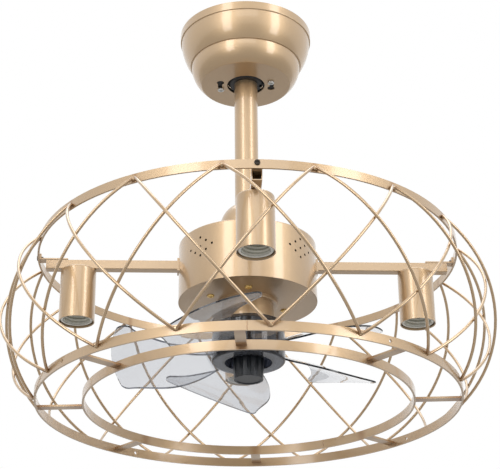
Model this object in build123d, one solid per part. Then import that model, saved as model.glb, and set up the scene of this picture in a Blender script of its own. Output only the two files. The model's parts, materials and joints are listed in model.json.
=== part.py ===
from build123d import *
from math import asin, cos, degrees, radians, sin
import os

# A caged ceiling fan with four lamp cups, in millimetres.
# The origin is on the ceiling plane, on the axis of the down rod, and +Z points up.
# Azimuths are degrees seen from above, counted from the front (-Y) towards the right (+X).

# Running, seating and layering clearances
SEAT = 0.05
LOOSE = 0.1
RUNNING = 0.03
BALL_GAP = 0.3

# Canopy: a pressed cup against the ceiling
CANOPY_RADIUS = 72.5
CANOPY_DROP = 62.0
CANOPY_WALL = 1.0
CANOPY_LIP = 9.4
CANOPY_STEP = 1.1
WAIST_RADIUS = 61.0
WAIST_DROP = 39.0
CANOPY_FLOOR_RADIUS = 48.5
BOWL_FULLNESS = 0.72
LOWER_BOWL_FULLNESS = 0.70
LOWER_BOWL_MIDDLE = 0.58
CANOPY_STEP_EDGE = 0.8
CANOPY_FLOOR_EDGE = 1.6
CANOPY_HOLE_MARGIN = 0.7
KEYHOLE_RADIUS = 28.5
KEYHOLE_HEAD = 4.0
KEYHOLE_NECK = 2.3
KEYHOLE_TURN = 27.0
CANOPY_SCREW_AZIMUTH = 73.0
CANOPY_SCREW_RADIUS = 2.0
CANOPY_SCREW_HEAD_HEIGHT = 2.2
CANOPY_SCREW_LENGTH = 7.0

# Hanger bracket: a steel strap bent into a hat, screwed to the ceiling box
STRAP_WIDTH = 54.0
STRAP_THICKNESS = 2.0
BRACKET_HALF = 34.0
BRACKET_FOOT_MARGIN = 13.55
BOX_SCREW_SPACING = 88.9
BOX_SLOT_WIDTH = 4.8
BOX_SLOT_LENGTH = 14.0

# Hanger ball and down rod
BALL_RADIUS = 24.0
BALL_SEAT_ANGLE = 55.4
BALL_TOP = 10.0
BALL_GROOVE = 5.0
BALL_GROOVE_DEPTH = 2.2
TAB_WIDTH = 4.0
TAB_REACH = 2.5
ROD_RADIUS = 12.7
ROD_WALL = 1.5
ROD_LENGTH = 202.8
BALL_PIN_RADIUS = 2.5
BALL_PIN_LENGTH = 40.0
SET_SCREW_RADIUS = 2.2
RECEIVER_WIDTH = 36.0
RECEIVER_HEIGHT = 14.0

# Yoke and its bell cover on top of the motor
YOKE_HEIGHT = 39.8
YOKE_RADIUS = 17.5
YOKE_FOOT = 20.8
YOKE_BORE_STEP = 3.0
YOKE_FLANGE_RADIUS = 24.5
YOKE_FLANGE_THICKNESS = 4.0
YOKE_SCREW_CIRCLE = 21.0
YOKE_SCREW_RADIUS = 2.0
YOKE_SCREW_AZIMUTHS = (60, 180, 300)
CLEVIS_INSET = 10.0
CLEVIS_PIN_RADIUS = 3.0
CLEVIS_TIP = 2.0
COTTER_RADIUS = 0.9
COVER_HEIGHT = 46.8
COVER_PLAY = 0.6
COVER_RADIUS = 28.0
COVER_WALL = 1.0
COVER_SHOULDER = 30.0
COVER_FULLNESS = 0.76
COVER_MIDDLE = 0.66

# Motor housing
DRUM_HEIGHT = 63.0
DRUM_RADIUS = 71.5
DRUM_WALL = 1.3
DRUM_LID = 1.5
DRUM_EDGE = 2.0
VENT_RADIUS = 1.3
VENT_ROWS = (1, 2, 3, 2, 1)
VENT_SPACING = 14.6
VENT_STEP = 4.95
VENT_AZIMUTH = 46.0
PAN_THICKNESS = 1.3
PAN_RIM = 8.0
PAN_SCREW_CIRCLE = 43.0
PAN_SCREW_AZIMUTHS = (-63.5, -1.5, 116.5, 178.5)
PAN_SCREW_HEAD = 3.6
PAN_SCREW_RADIUS = 2.0
PAN_SCREW_RECESS = 0.6
PAN_SCREW_DEPTH = 3.5

# Neck sleeve under the pan
NECK_RADIUS = 26.5
NECK_WALL = 1.5
NECK_FLANGE_RADIUS = 30.8
NECK_FLANGE_THICKNESS = 3.8
NECK_LENGTH = 24.4
NECK_TO_HUB = 1.3

# Motor inside the drum
SHAFT_RADIUS = 4.0
SHAFT_HOLE = 8.0
BEARING_RADIUS = 11.0
BEARING_WIDTH = 7.0
BASE_RADIUS = 50.0
BASE_THICKNESS = 4.5
BEARING_TUBE_WALL = 3.0
STATOR_RADIUS = 44.0
STATOR_HEIGHT = 18.0
STATOR_TEETH = 12
TOOTH_WIDTH = 5.0
TOOTH_TIP = 2.5
TOOTH_SLOT = 3.0
COIL_THICKNESS = 1.7
COIL_INSET = 3.0
COIL_CORNER = 1.5
STATOR_YOKE = 24.0
STATOR_LIFT = 4.0
AIR_GAP = 0.8
MAGNET_THICKNESS = 2.2
MAGNET_COUNT = 12
MAGNET_SHARE = 0.93
BELL_WALL = 2.5
BELL_HEADROOM = 8.0
BELL_BOSS_RADIUS = 8.0
BELL_BOSS_HEIGHT = 8.0
BEARING_CLEARANCE = 1.5
BOARD_MARGIN = 5.0
CAPACITOR_RADIUS = 4.0
CAPACITOR_HEIGHT = 8.0
BOARD_THICKNESS = 1.6
BOARD_HOLE = 16.0
BOARD_SPACER = 6.2
SPACER_RADIUS = 3.0

# Arms: square tubes from the drum to the cage
ARM_SIZE = 10.0
ARM_WALL = 1.0
ARM_SETBACK = 17.7
ARM_END_GAP = 6.6
ARM_FLANGE_SIZE = 14.0
ARM_FLANGE_THICKNESS = 1.5
WIRE_HOLE_RADIUS = 3.0
RING_STRAP_LENGTH = 29.0
RING_STRAP_THICKNESS = 1.5
RING_SCREW_RADIUS = 1.5
RING_SCREW_HEAD = 2.8
RING_SCREW_INSET = 3.4

# Lamp cups and their screw sockets
CUP_WALL = 1.0
CUP_HEIGHT = 57.0
CUP_SHOULDER = 2.5
CUP_INSET = 42.0
NIPPLE_RADIUS = 4.0
NIPPLE_BORE = 2.8
NUT_ACROSS = 12.0
NUT_THICKNESS = 3.0
SOCKET_WALL = 2.25
SOCKET_PLAY = 1.0
SOCKET_RECESS = 2.0
SOCKET_ROOF = 6.0
SOCKET_SHOULDER = 7.0
SHELL_BORE = 13.35
SHELL_WALL = 0.6
SHELL_LENGTH = 26.0
SHELL_RECESS = 2.0
SHELL_LIP = 9.0
CONTACT_RECESS = 2.4
CONTACT_LENGTH = 12.0
CONTACT_WIDTH = 5.0
CONTACT_THICKNESS = 0.6
CONTACT_RADIUS = 2.4

# Cage rings, spokes and wires
RING_THICKNESS = 2.0
TOP_RING_RADIUS = 216.6
TOP_RING_RISE = 6.8
TOP_RING_HEIGHT = 9.0
BOTTOM_RING_RADIUS = 212.2
CAGE_HEIGHT = 164.0
BOTTOM_RING_HEIGHT = 9.2
SPOKE_SPAN = 44.9
SPOKE_COUNT = 8
SPOKE_WIDTH = 10.0
SPOKE_THICKNESS = 2.0
SPOKE_AZIMUTH = -4.7
HANG_HOLE_RADIUS = 1.7
HANG_HOLE_AZIMUTH = 34.0
WIRE_RADIUS = 1.5
WIRES_PER_LAYER = 16
WIRE_PITCHES = 1.5
WIRE_AZIMUTH = -8.5
WIRE_BULGE = 32.2
WIRE_SAG = 7.9
LAYER_GAP = 0.8
WIRE_TOP_INSET = 5.4
WIRE_END_INSET = 5.5
TIP_GAP = 0.4
TIP_LEAN = 0.82

# Impeller: hub, five blades, collar and spinner knob
HUB_RADIUS = 37.5
HUB_HEIGHT = 39.5
HUB_WALL = 2.2
HUB_FLOOR = 2.2
WELL_MARGIN = 4.5
WELL_DEPTH = 14.0
BOSS_RADIUS = 8.0
BOSS_HEIGHT = 9.0
DRIVE_PIN_RADIUS = 1.5
DRIVE_PIN_LENGTH = 13.0
BLADE_COUNT = 5
BLADE_AZIMUTH = 125.7
BLADE_THICKNESS = 1.8
BLADE_CAMBER = 4.6
RIB_THICKNESS = 1.6
RIB_HEIGHT = 12.0
COLLAR_RADIUS = 19.5
COLLAR_HEIGHT = 3.5
KNOB_RADIUS = 16.0
KNOB_TIP_RADIUS = 14.8
KNOB_SLEEVE_RADIUS = 12.5
KNOB_HEIGHT = 22.0
KNOB_FLUTES = 12
KNOB_FLUTE_RADIUS = 2.2
KNOB_FLOOR = 3.0
GRIP_INSET = 4.0
THREAD_RELIEF = 1.0

# Stations of a blade from its root in the hub to past its tip: share of the span, then offset
# across the blade and drop below the hub's top of the middle of the chord, and pitch in degrees
BLADE_ROOT_INSET = 11.5
BLADE_REACH = 138.3
BLADE_STATIONS = (
    (0.00, -8.7, 26.9, 34.2),
    (0.24, -19.1, 32.8, 25.9),
    (0.47, -23.5, 34.3, 25.9),
    (0.68, -14.7, 33.3, 20.8),
    (0.88, 6.0, 29.6, 15.1),
    (1.06, 10.0, 28.7, 14.6),
)
BLADE_HALF_WIDTH = 68.0

# Edges of a blade seen from above: share of the span and offset across the blade
TRAILING_EDGE = ((0.0, -21.0), (0.23, -42.1), (0.46, -51.3), (0.69, -51.8))
LEADING_EDGE = ((0.0, -1.0), (0.26, 4.0), (0.44, 4.0), (0.61, 15.0), (0.77, 35.0))
TRAILING_CORNER_ANGLE = -22.9
LOBE_ANGLE = 27.5
BLADE_CORNER_RADIUS = 9.0
LOBE_RADIUS = 7.5

# Levels below the ceiling and radii that follow from the sizes above
SEAT_RADIUS = (BALL_RADIUS + BALL_GAP) * sin(radians(BALL_SEAT_ANGLE))
BRACKET_FLOOR = CANOPY_DROP - CANOPY_WALL - STRAP_THICKNESS
BALL_DROP = BRACKET_FLOOR - (BALL_RADIUS + BALL_GAP) * cos(radians(BALL_SEAT_ANGLE))
ROD_TOP = BALL_DROP - BALL_TOP
ROD_END = ROD_TOP + ROD_LENGTH
CLEVIS_DROP = ROD_END - CLEVIS_INSET
DRUM_TOP = ROD_END + YOKE_FOOT
YOKE_TOP = DRUM_TOP - YOKE_HEIGHT
COVER_TOP = DRUM_TOP - COVER_HEIGHT
DRUM_BOTTOM = DRUM_TOP + DRUM_HEIGHT
DRUM_INSIDE = DRUM_RADIUS - DRUM_WALL
PAN_INSIDE = DRUM_BOTTOM - PAN_THICKNESS
BASE_TOP = PAN_INSIDE - BASE_THICKNESS
STATOR_DROP = BASE_TOP - STATOR_LIFT
BELL_INSIDE = STATOR_RADIUS + AIR_GAP + MAGNET_THICKNESS
BELL_RADIUS = BELL_INSIDE + BELL_WALL
BELL_ROOF = STATOR_DROP - STATOR_HEIGHT - BELL_HEADROOM
BELL_TOP = BELL_ROOF - BELL_WALL
TUBE_TOP = BELL_ROOF + BEARING_CLEARANCE
TUBE_RADIUS = BEARING_RADIUS + BEARING_TUBE_WALL
BOARD_DROP = DRUM_TOP + DRUM_LID + BOARD_SPACER
BOARD_RADIUS = DRUM_INSIDE - BOARD_MARGIN
SHAFT_TOP = BELL_TOP - BELL_BOSS_HEIGHT
ARM_DROP = DRUM_TOP + ARM_SETBACK
ARM_MIDDLE = ARM_DROP + ARM_SIZE / 2
ARM_BOTTOM = ARM_DROP + ARM_SIZE
TOP_RING_INSIDE = TOP_RING_RADIUS - RING_THICKNESS
TOP_RING_DROP = ARM_DROP - TOP_RING_RISE
BOTTOM_RING_INSIDE = BOTTOM_RING_RADIUS - RING_THICKNESS
INNER_RING_RADIUS = BOTTOM_RING_INSIDE - SPOKE_SPAN
CAGE_BOTTOM = TOP_RING_DROP + CAGE_HEIGHT
BOTTOM_RING_DROP = CAGE_BOTTOM - BOTTOM_RING_HEIGHT
RING_SCREW_DROP = TOP_RING_DROP + RING_SCREW_INSET
SPOKE_DROP = CAGE_BOTTOM - BOTTOM_RING_HEIGHT / 2
ARM_REACH = TOP_RING_INSIDE - ARM_END_GAP
CUP_CIRCLE = TOP_RING_RADIUS - CUP_INSET
SHELL_RADIUS = SHELL_BORE + SHELL_WALL
SOCKET_RADIUS = SHELL_RADIUS + SOCKET_WALL
CUP_RADIUS = SOCKET_RADIUS + SOCKET_PLAY + CUP_WALL
CUP_TOP = ARM_BOTTOM + LOOSE
CUP_MOUTH = CUP_TOP + CUP_HEIGHT
SOCKET_FACE = CUP_MOUTH - SOCKET_RECESS
NUT_TOP = CUP_TOP + CUP_WALL + SEAT
SOCKET_TOP = NUT_TOP + NUT_THICKNESS + SEAT
SHELL_END = SOCKET_FACE - SHELL_RECESS
SHELL_TOP = SHELL_END - SHELL_LENGTH
CONTACT_TOP = SHELL_TOP - CONTACT_RECESS
WIRE_TOP_DROP = TOP_RING_DROP + WIRE_TOP_INSET
WIRE_END_DROP = CAGE_BOTTOM - WIRE_END_INSET
WIRE_MIDDLE_DROP = (WIRE_TOP_DROP + WIRE_END_DROP) / 2 + WIRE_SAG
OUTER_BULGE = TOP_RING_RADIUS + WIRE_BULGE
INNER_BULGE = OUTER_BULGE - 2 * WIRE_RADIUS - LAYER_GAP
HUB_DROP = DRUM_BOTTOM + NECK_LENGTH + NECK_TO_HUB
HUB_BOTTOM = HUB_DROP + HUB_HEIGHT
WELL_RADIUS = COLLAR_RADIUS + WELL_MARGIN
WELL_ROOF = HUB_BOTTOM - WELL_DEPTH
BOSS_TOP = WELL_ROOF - HUB_FLOOR - BOSS_HEIGHT
DRIVE_PIN_DROP = BOSS_TOP + DRIVE_PIN_RADIUS
COLLAR_TOP = WELL_ROOF + SEAT
COLLAR_BOTTOM = COLLAR_TOP + COLLAR_HEIGHT
GRIP_TOP = HUB_BOTTOM - GRIP_INSET
KNOB_BOTTOM = GRIP_TOP + KNOB_HEIGHT
SHAFT_END = KNOB_BOTTOM - KNOB_FLOOR - THREAD_RELIEF
BASE_ALIGN = (Align.CENTER, Align.CENTER, Align.MIN)
ARM_NAMES = {"front": 0, "right": 90, "rear": 180, "left": 270}


def spot(radius, azimuth, drop=0.0):
    """The place at a radius and azimuth, a drop below the ceiling."""
    angle = radians(azimuth)
    return Vector(radius * sin(angle), -radius * cos(angle), -drop)


def turned(azimuth, shape):
    """A shape drawn to the front, turned about the rod's axis to an azimuth."""
    return Rot(0, 0, azimuth) * shape


def ring(radius, bore, top, bottom):
    """A round ring or tube on the rod's axis between two drops."""
    height = bottom - top
    body = Pos(0, 0, -bottom) * Cylinder(radius, height, align=BASE_ALIGN)
    if bore > 0:
        body -= Pos(0, 0, -bottom) * Cylinder(bore, height, align=BASE_ALIGN)
    return body


def spun(outline):
    """A solid of revolution from a closed outline of radius and height."""
    return revolve(make_face(Plane.XZ * outline), axis=Axis.Z)


def upright(radius, top, bottom, place):
    """An upright cylinder between two drops at a place."""
    return Pos(place.X, place.Y, -bottom) * Cylinder(radius, bottom - top, align=BASE_ALIGN)


def crosswise(radius, start, end, drop):
    """A level cylinder along X between two positions, at a drop."""
    return Pos(start, 0, -drop) * Rot(0, 90, 0) * Cylinder(radius, end - start, align=BASE_ALIGN)


def sector(radius, start, end, height):
    """A pie slice between two azimuths, half of it above and half below z = 0."""
    first = spot(radius, start)
    last = spot(radius, end)
    outline = Polyline((0, 0), (first.X, first.Y), (last.X, last.Y), (0, 0))
    return extrude(make_face(outline), height / 2, both=True)


def pan_head_screw(radius, head_radius, head_height, length):
    """A cross-slotted screw whose head sits on z = 0 and whose shank goes down."""
    head = Cylinder(head_radius, head_height, align=BASE_ALIGN)
    head = fillet(head.edges().group_by(Axis.Z)[-1], head_height * 0.45)
    slot = Box(head_radius * 1.2, radius * 0.5, head_height, align=BASE_ALIGN)
    cross = slot + Rot(0, 0, 90) * slot
    shank = Pos(0, 0, -length) * Cylinder(radius, length, align=BASE_ALIGN)
    return head - Pos(0, 0, head_height * 0.5) * cross + shank


def canopy_outline(inset):
    """Half section of the canopy: a lip, a full bowl, a waist and a lower bowl."""
    rim = CANOPY_RADIUS - inset
    bowl = rim - CANOPY_STEP
    lip = -CANOPY_LIP + inset
    waist = WAIST_RADIUS - inset
    step = -WAIST_DROP + inset
    neck = waist - CANOPY_STEP
    floor = CANOPY_FLOOR_RADIUS - inset
    bottom = -CANOPY_DROP + inset
    upper_middle = (waist + BOWL_FULLNESS * (bowl - waist), (lip + step) / 2)
    lower_height = step + LOWER_BOWL_MIDDLE * (bottom - step)
    lower_middle = (floor + LOWER_BOWL_FULLNESS * (neck - floor), lower_height)
    outline = Polyline((0, 0), (rim, 0), (rim, lip), (bowl, lip))
    outline += ThreePointArc((bowl, lip), upper_middle, (waist, step))
    outline += Line((waist, step), (neck, step))
    outline += ThreePointArc((neck, step), lower_middle, (floor, bottom))
    outline += Polyline((floor, bottom), (0, bottom), (0, 0))
    return outline


def keyhole():
    """A curved twist-lock slot in the canopy floor, at the right-hand side."""
    depth = 3 * CANOPY_WALL
    neck_end = CANOPY_SCREW_AZIMUTH
    head_end = neck_end + KEYHOLE_TURN
    slot = Cylinder(KEYHOLE_RADIUS + KEYHOLE_NECK, depth)
    slot -= Cylinder(KEYHOLE_RADIUS - KEYHOLE_NECK, depth)
    slot &= sector(2 * KEYHOLE_RADIUS, neck_end, head_end, depth)
    slot += Pos(*spot(KEYHOLE_RADIUS, neck_end)) * Cylinder(KEYHOLE_NECK, depth)
    slot += Pos(*spot(KEYHOLE_RADIUS, head_end)) * Cylinder(KEYHOLE_HEAD, depth)
    return Pos(0, 0, -CANOPY_DROP) * slot


def softened(shape, radius, drop, rounding):
    """A turned solid with its round edge at a radius and drop rounded off."""
    edge = shape.edges().sort_by_distance(spot(radius, 0, drop))[0]
    return fillet(edge, rounding)


def make_canopy():
    """The spun shell, with soft steps and floor edge, a hole for the ball and two keyholes."""
    shell = softened(spun(canopy_outline(0)), CANOPY_RADIUS, CANOPY_LIP, CANOPY_STEP_EDGE)
    shell = softened(shell, WAIST_RADIUS, WAIST_DROP, CANOPY_STEP_EDGE)
    shell = softened(shell, CANOPY_FLOOR_RADIUS, CANOPY_DROP, CANOPY_FLOOR_EDGE)
    shell -= spun(canopy_outline(CANOPY_WALL))
    hole = SEAT_RADIUS + CANOPY_HOLE_MARGIN
    shell -= ring(hole, 0, CANOPY_DROP - 2 * CANOPY_WALL, CANOPY_DROP + CANOPY_WALL)
    return shell - keyhole() - Rot(0, 0, 180) * keyhole()


def make_canopy_screws():
    """The two screws that the canopy's keyholes twist onto."""
    head = KEYHOLE_HEAD - 4 * LOOSE
    screw = pan_head_screw(CANOPY_SCREW_RADIUS, head, CANOPY_SCREW_HEAD_HEIGHT, CANOPY_SCREW_LENGTH)
    place = spot(KEYHOLE_RADIUS, CANOPY_SCREW_AZIMUTH, CANOPY_DROP + SEAT)
    first = Pos(*place) * Rot(180, 0, 0) * screw
    return [first, Rot(0, 0, 180) * first]


def make_hanger_bracket():
    """A hat-shaped strap: two feet on the ceiling, two legs and a floor with the ball's seat."""
    t = STRAP_THICKNESS
    floor_top = -BRACKET_FLOOR
    foot = BOX_SCREW_SPACING / 2 + BRACKET_FOOT_MARGIN
    half = [(foot, 0), (BRACKET_HALF - t, 0), (BRACKET_HALF - t, floor_top)]
    under = [(BRACKET_HALF, floor_top - t), (BRACKET_HALF, -t), (foot, -t)]
    mirrored_half = [(-x, z) for x, z in reversed(half)]
    mirrored_under = [(-x, z) for x, z in reversed(under)]
    points = half + mirrored_half + mirrored_under + under + [half[0]]
    strap = extrude(make_face(Plane.XZ * Polyline(*points)), STRAP_WIDTH / 2, both=True)
    strap = fillet(strap.edges().filter_by(Axis.Y).group_by(Axis.Z)[0], t)
    strap &= Cylinder(foot, 3 * CANOPY_DROP)
    strap -= ring(SEAT_RADIUS, 0, BRACKET_FLOOR - t, BRACKET_FLOOR + 2 * t)
    tab_length = TAB_REACH + t
    tab_place = Pos(SEAT_RADIUS - TAB_REACH + tab_length / 2, 0, floor_top - t / 2)
    strap += tab_place * Box(tab_length, TAB_WIDTH, t)
    for half_turn in (0, 180):
        slot = extrude(SlotOverall(BOX_SLOT_LENGTH, BOX_SLOT_WIDTH), t, both=True)
        strap -= turned(half_turn, Pos(BOX_SCREW_SPACING / 2, 0, -t / 2) * slot)
        place = spot(KEYHOLE_RADIUS, CANOPY_SCREW_AZIMUTH + half_turn)
        strap -= upright(CANOPY_SCREW_RADIUS + SEAT, BRACKET_FLOOR - t, BRACKET_FLOOR + 2 * t, place)
    return strap


def make_hanger_ball():
    """A ball cut flat above and below, bored for the rod, with a groove for the bracket's tab."""
    lower_cut = CANOPY_DROP - BALL_DROP
    keep = Pos(0, 0, (BALL_TOP - lower_cut) / 2) * Cylinder(BALL_RADIUS + 1, BALL_TOP + lower_cut)
    ball = Sphere(BALL_RADIUS) & keep
    ball -= Cylinder(ROD_RADIUS + SEAT, 4 * BALL_RADIUS)
    ball -= Rot(90, 0, 0) * Cylinder(BALL_PIN_RADIUS + SEAT, 4 * BALL_RADIUS)
    groove = Cylinder(BALL_RADIUS + 1, BALL_GROOVE)
    groove -= Cylinder(BALL_RADIUS - BALL_GROOVE_DEPTH, BALL_GROOVE)
    right_half = Pos(BALL_RADIUS, 0, 0) * Box(2 * BALL_RADIUS, 2 * BALL_RADIUS, 4 * BALL_RADIUS)
    ball -= Rot(90, 0, 0) * groove & right_half
    ball -= Rot(0, -90, 0) * Cylinder(SET_SCREW_RADIUS + SEAT, 2 * BALL_RADIUS, align=BASE_ALIGN)
    return Pos(0, 0, -BALL_DROP) * ball


def make_ball_pin():
    pin = chamfer(Cylinder(BALL_PIN_RADIUS, BALL_PIN_LENGTH).edges(), 0.5)
    return Pos(0, 0, -BALL_DROP) * Rot(90, 0, 0) * pin


def make_ball_set_screw():
    """A headless screw through the ball's left side, tight against the rod."""
    head = -BALL_RADIUS + SET_SCREW_RADIUS
    screw = crosswise(SET_SCREW_RADIUS, head, -ROD_RADIUS - SEAT, BALL_DROP)
    return screw - Pos(head, 0, -BALL_DROP) * Box(SET_SCREW_RADIUS, 3 * SET_SCREW_RADIUS, 0.8)


def make_downrod():
    rod = ring(ROD_RADIUS, ROD_RADIUS - ROD_WALL, ROD_TOP, ROD_END)
    rod -= Pos(0, 0, -BALL_DROP) * Rot(90, 0, 0) * Cylinder(BALL_PIN_RADIUS + SEAT, 4 * ROD_RADIUS)
    return rod - crosswise(CLEVIS_PIN_RADIUS + SEAT, -2 * ROD_RADIUS, 2 * ROD_RADIUS, CLEVIS_DROP)


def make_receiver_box():
    """The remote control's receiver, a flat box slid in between the bracket's legs."""
    length = 2 * (BRACKET_HALF - STRAP_THICKNESS - SEAT)
    body = Box(length, RECEIVER_WIDTH, RECEIVER_HEIGHT)
    body = fillet(body.edges().filter_by(Axis.Z), 3.0)
    grooves = [Pos(0, side * RECEIVER_WIDTH / 2, 0) * Box(length * 0.7, 1.2, 4) for side in (-1, 1)]
    return Pos(0, 0, -RECEIVER_HEIGHT / 2 - LOOSE) * (body - grooves)


def make_yoke():
    """The coupling that holds the rod's end: a collar on a flange."""
    flange_top = DRUM_TOP - YOKE_FLANGE_THICKNESS
    yoke = ring(YOKE_RADIUS, 0, YOKE_TOP, DRUM_TOP) + ring(YOKE_FLANGE_RADIUS, 0, flange_top, DRUM_TOP)
    yoke = fillet(yoke.edges().group_by(Axis.Z)[-1], 1.5)
    yoke -= ring(ROD_RADIUS + SEAT, 0, YOKE_TOP - 1, ROD_END + SEAT)
    yoke -= ring(ROD_RADIUS - YOKE_BORE_STEP, 0, ROD_END - 1, DRUM_TOP + 1)
    yoke -= crosswise(CLEVIS_PIN_RADIUS + SEAT, -2 * YOKE_RADIUS, 2 * YOKE_RADIUS, CLEVIS_DROP)
    for azimuth in YOKE_SCREW_AZIMUTHS:
        place = spot(YOKE_SCREW_CIRCLE, azimuth)
        yoke -= upright(YOKE_SCREW_RADIUS + LOOSE, flange_top - 1, DRUM_TOP + 1, place)
    return yoke


def make_yoke_screws():
    """Three screws from the yoke's flange down into the drum's lid."""
    length = YOKE_FLANGE_THICKNESS + DRUM_LID + YOKE_SCREW_RADIUS
    screw = pan_head_screw(YOKE_SCREW_RADIUS, 1.5 * YOKE_SCREW_RADIUS, YOKE_SCREW_RADIUS, length)
    drop = DRUM_TOP - YOKE_FLANGE_THICKNESS - SEAT
    return [Pos(*spot(YOKE_SCREW_CIRCLE, azimuth, drop)) * screw for azimuth in YOKE_SCREW_AZIMUTHS]


def make_clevis_pin():
    """The pin through yoke and rod, with a head at the right and a cross hole at the left."""
    head = YOKE_RADIUS + SEAT
    tip = -YOKE_RADIUS - 2 * CLEVIS_TIP
    pin = crosswise(CLEVIS_PIN_RADIUS, tip, head, CLEVIS_DROP)
    pin += crosswise(1.5 * CLEVIS_PIN_RADIUS, head, head + CLEVIS_TIP, CLEVIS_DROP)
    hole = Cylinder(COTTER_RADIUS + LOOSE, 4 * CLEVIS_PIN_RADIUS)
    return pin - Pos(tip + CLEVIS_TIP, 0, -CLEVIS_DROP) * hole


def make_cotter_pin():
    """A split pin through the clevis pin's tip, with its eye above."""
    place = Pos(-YOKE_RADIUS - CLEVIS_TIP, 0, -CLEVIS_DROP)
    eye_radius = 2 * COTTER_RADIUS
    eye_rise = CLEVIS_PIN_RADIUS + eye_radius + COTTER_RADIUS
    leg_length = 2 * CLEVIS_PIN_RADIUS + 3 * COTTER_RADIUS
    leg = Cylinder(COTTER_RADIUS, leg_length, align=BASE_ALIGN)
    leg = Pos(0, 0, -leg_length + eye_rise - eye_radius) * leg
    eye = Pos(0, 0, eye_rise) * Rot(0, 90, 0) * Torus(eye_radius, 0.9 * COTTER_RADIUS)
    return place * (leg + eye)


def bell_outline(inset):
    """Half section of the yoke cover: a straight skirt under a quarter-ellipse shoulder."""
    skirt = COVER_RADIUS - inset
    mouth = ROD_RADIUS + COVER_PLAY
    top = -COVER_TOP - inset
    shoulder = -COVER_TOP - COVER_SHOULDER
    bottom = -DRUM_TOP + SEAT
    across = mouth + COVER_FULLNESS * (skirt - mouth)
    middle = (across, shoulder + COVER_MIDDLE * (top - shoulder))
    outline = Line((0, top), (mouth, top))
    outline += ThreePointArc((mouth, top), middle, (skirt, shoulder))
    outline += Polyline((skirt, shoulder), (skirt, bottom), (0, bottom), (0, top))
    return outline


def make_yoke_cover():
    cover = spun(bell_outline(0)) - spun(bell_outline(COVER_WALL))
    return cover - ring(ROD_RADIUS + COVER_PLAY, 0, COVER_TOP - 1, COVER_TOP + 3 * COVER_WALL)


def drum_vents():
    """One diamond of small round vents through the drum's wall, at the front."""
    drill = Rot(90, 0, 0) * Cylinder(VENT_RADIUS, 6 * DRUM_WALL)
    drills = []
    for row, count in enumerate(VENT_ROWS):
        drop = ARM_MIDDLE + (row - len(VENT_ROWS) // 2) * VENT_STEP
        for column in range(count):
            azimuth = degrees((column - (count - 1) / 2) * VENT_SPACING / DRUM_RADIUS)
            drills.append(turned(azimuth, Pos(*spot(DRUM_RADIUS, 0, drop)) * drill))
    return drills


def make_motor_housing():
    """The drum: a deep-drawn cup, open below, with vents and a wire hole behind each arm."""
    drum = ring(DRUM_RADIUS, 0, DRUM_TOP, DRUM_BOTTOM)
    drum = fillet(drum.edges().group_by(Axis.Z)[-1], DRUM_EDGE)
    drum -= ring(DRUM_INSIDE, 0, DRUM_TOP + DRUM_LID, DRUM_BOTTOM + 1)
    drum -= ring(ROD_RADIUS - YOKE_BORE_STEP, 0, DRUM_TOP - 1, DRUM_TOP + 2 * DRUM_LID)
    for azimuth in YOKE_SCREW_AZIMUTHS:
        place = spot(YOKE_SCREW_CIRCLE, azimuth)
        drum -= upright(YOKE_SCREW_RADIUS + SEAT, DRUM_TOP - 1, DRUM_TOP + 2 * DRUM_LID, place)
    holes = []
    for azimuth in ARM_NAMES.values():
        drill = Rot(90, 0, 0) * Cylinder(WIRE_HOLE_RADIUS, 6 * DRUM_WALL)
        holes.append(turned(azimuth, Pos(*spot(DRUM_RADIUS, 0, ARM_MIDDLE)) * drill))
        holes += [turned(azimuth + VENT_AZIMUTH, vent) for vent in drum_vents()]
    return drum - holes


def make_bottom_pan():
    """The pan that closes the drum, with dimpled screw holes and an upturned rim."""
    radius = DRUM_INSIDE - LOOSE
    rim = ring(radius, radius - PAN_THICKNESS, DRUM_BOTTOM - PAN_RIM, DRUM_BOTTOM)
    pan = ring(radius, 0, PAN_INSIDE, DRUM_BOTTOM) + rim
    pan -= ring(NECK_RADIUS - NECK_WALL + SEAT, 0, PAN_INSIDE - 1, DRUM_BOTTOM + 1)
    for azimuth in PAN_SCREW_AZIMUTHS:
        place = spot(PAN_SCREW_CIRCLE, azimuth)
        pan -= upright(PAN_SCREW_RADIUS + LOOSE, PAN_INSIDE - 1, DRUM_BOTTOM + 1, place)
        dimple = PAN_SCREW_HEAD + PAN_SCREW_RECESS
        pan -= upright(dimple, DRUM_BOTTOM - PAN_SCREW_RECESS, DRUM_BOTTOM + 1, place)
    return pan


def make_pan_screws():
    """Four screws up through the pan into the motor's base."""
    length = PAN_THICKNESS - PAN_SCREW_RECESS + SEAT + PAN_SCREW_DEPTH - LOOSE
    screw = Rot(180, 0, 0) * pan_head_screw(PAN_SCREW_RADIUS, PAN_SCREW_HEAD, 1.8, length)
    drop = DRUM_BOTTOM - PAN_SCREW_RECESS + SEAT
    return [Pos(*spot(PAN_SCREW_CIRCLE, azimuth, drop)) * screw for azimuth in PAN_SCREW_AZIMUTHS]


def make_neck_sleeve():
    """The plain sleeve round the shaft, between the pan and the hub."""
    bottom = DRUM_BOTTOM + NECK_LENGTH
    inside = NECK_RADIUS - NECK_WALL
    flange = ring(NECK_FLANGE_RADIUS, 0, DRUM_BOTTOM, DRUM_BOTTOM + NECK_FLANGE_THICKNESS)
    flange = fillet(flange.edges().group_by(Axis.Z)[0], 1.0)
    sleeve = ring(NECK_RADIUS, 0, DRUM_BOTTOM, bottom)
    sleeve = fillet(sleeve.edges().group_by(Axis.Z)[0], 1.2)
    sleeve += flange
    sleeve -= ring(inside, 0, DRUM_BOTTOM - 1, bottom - NECK_WALL)
    sleeve += ring(inside, inside - NECK_WALL, PAN_INSIDE, DRUM_BOTTOM + NECK_FLANGE_THICKNESS)
    return sleeve - ring(SHAFT_HOLE, 0, DRUM_BOTTOM, bottom + 1)


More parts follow.
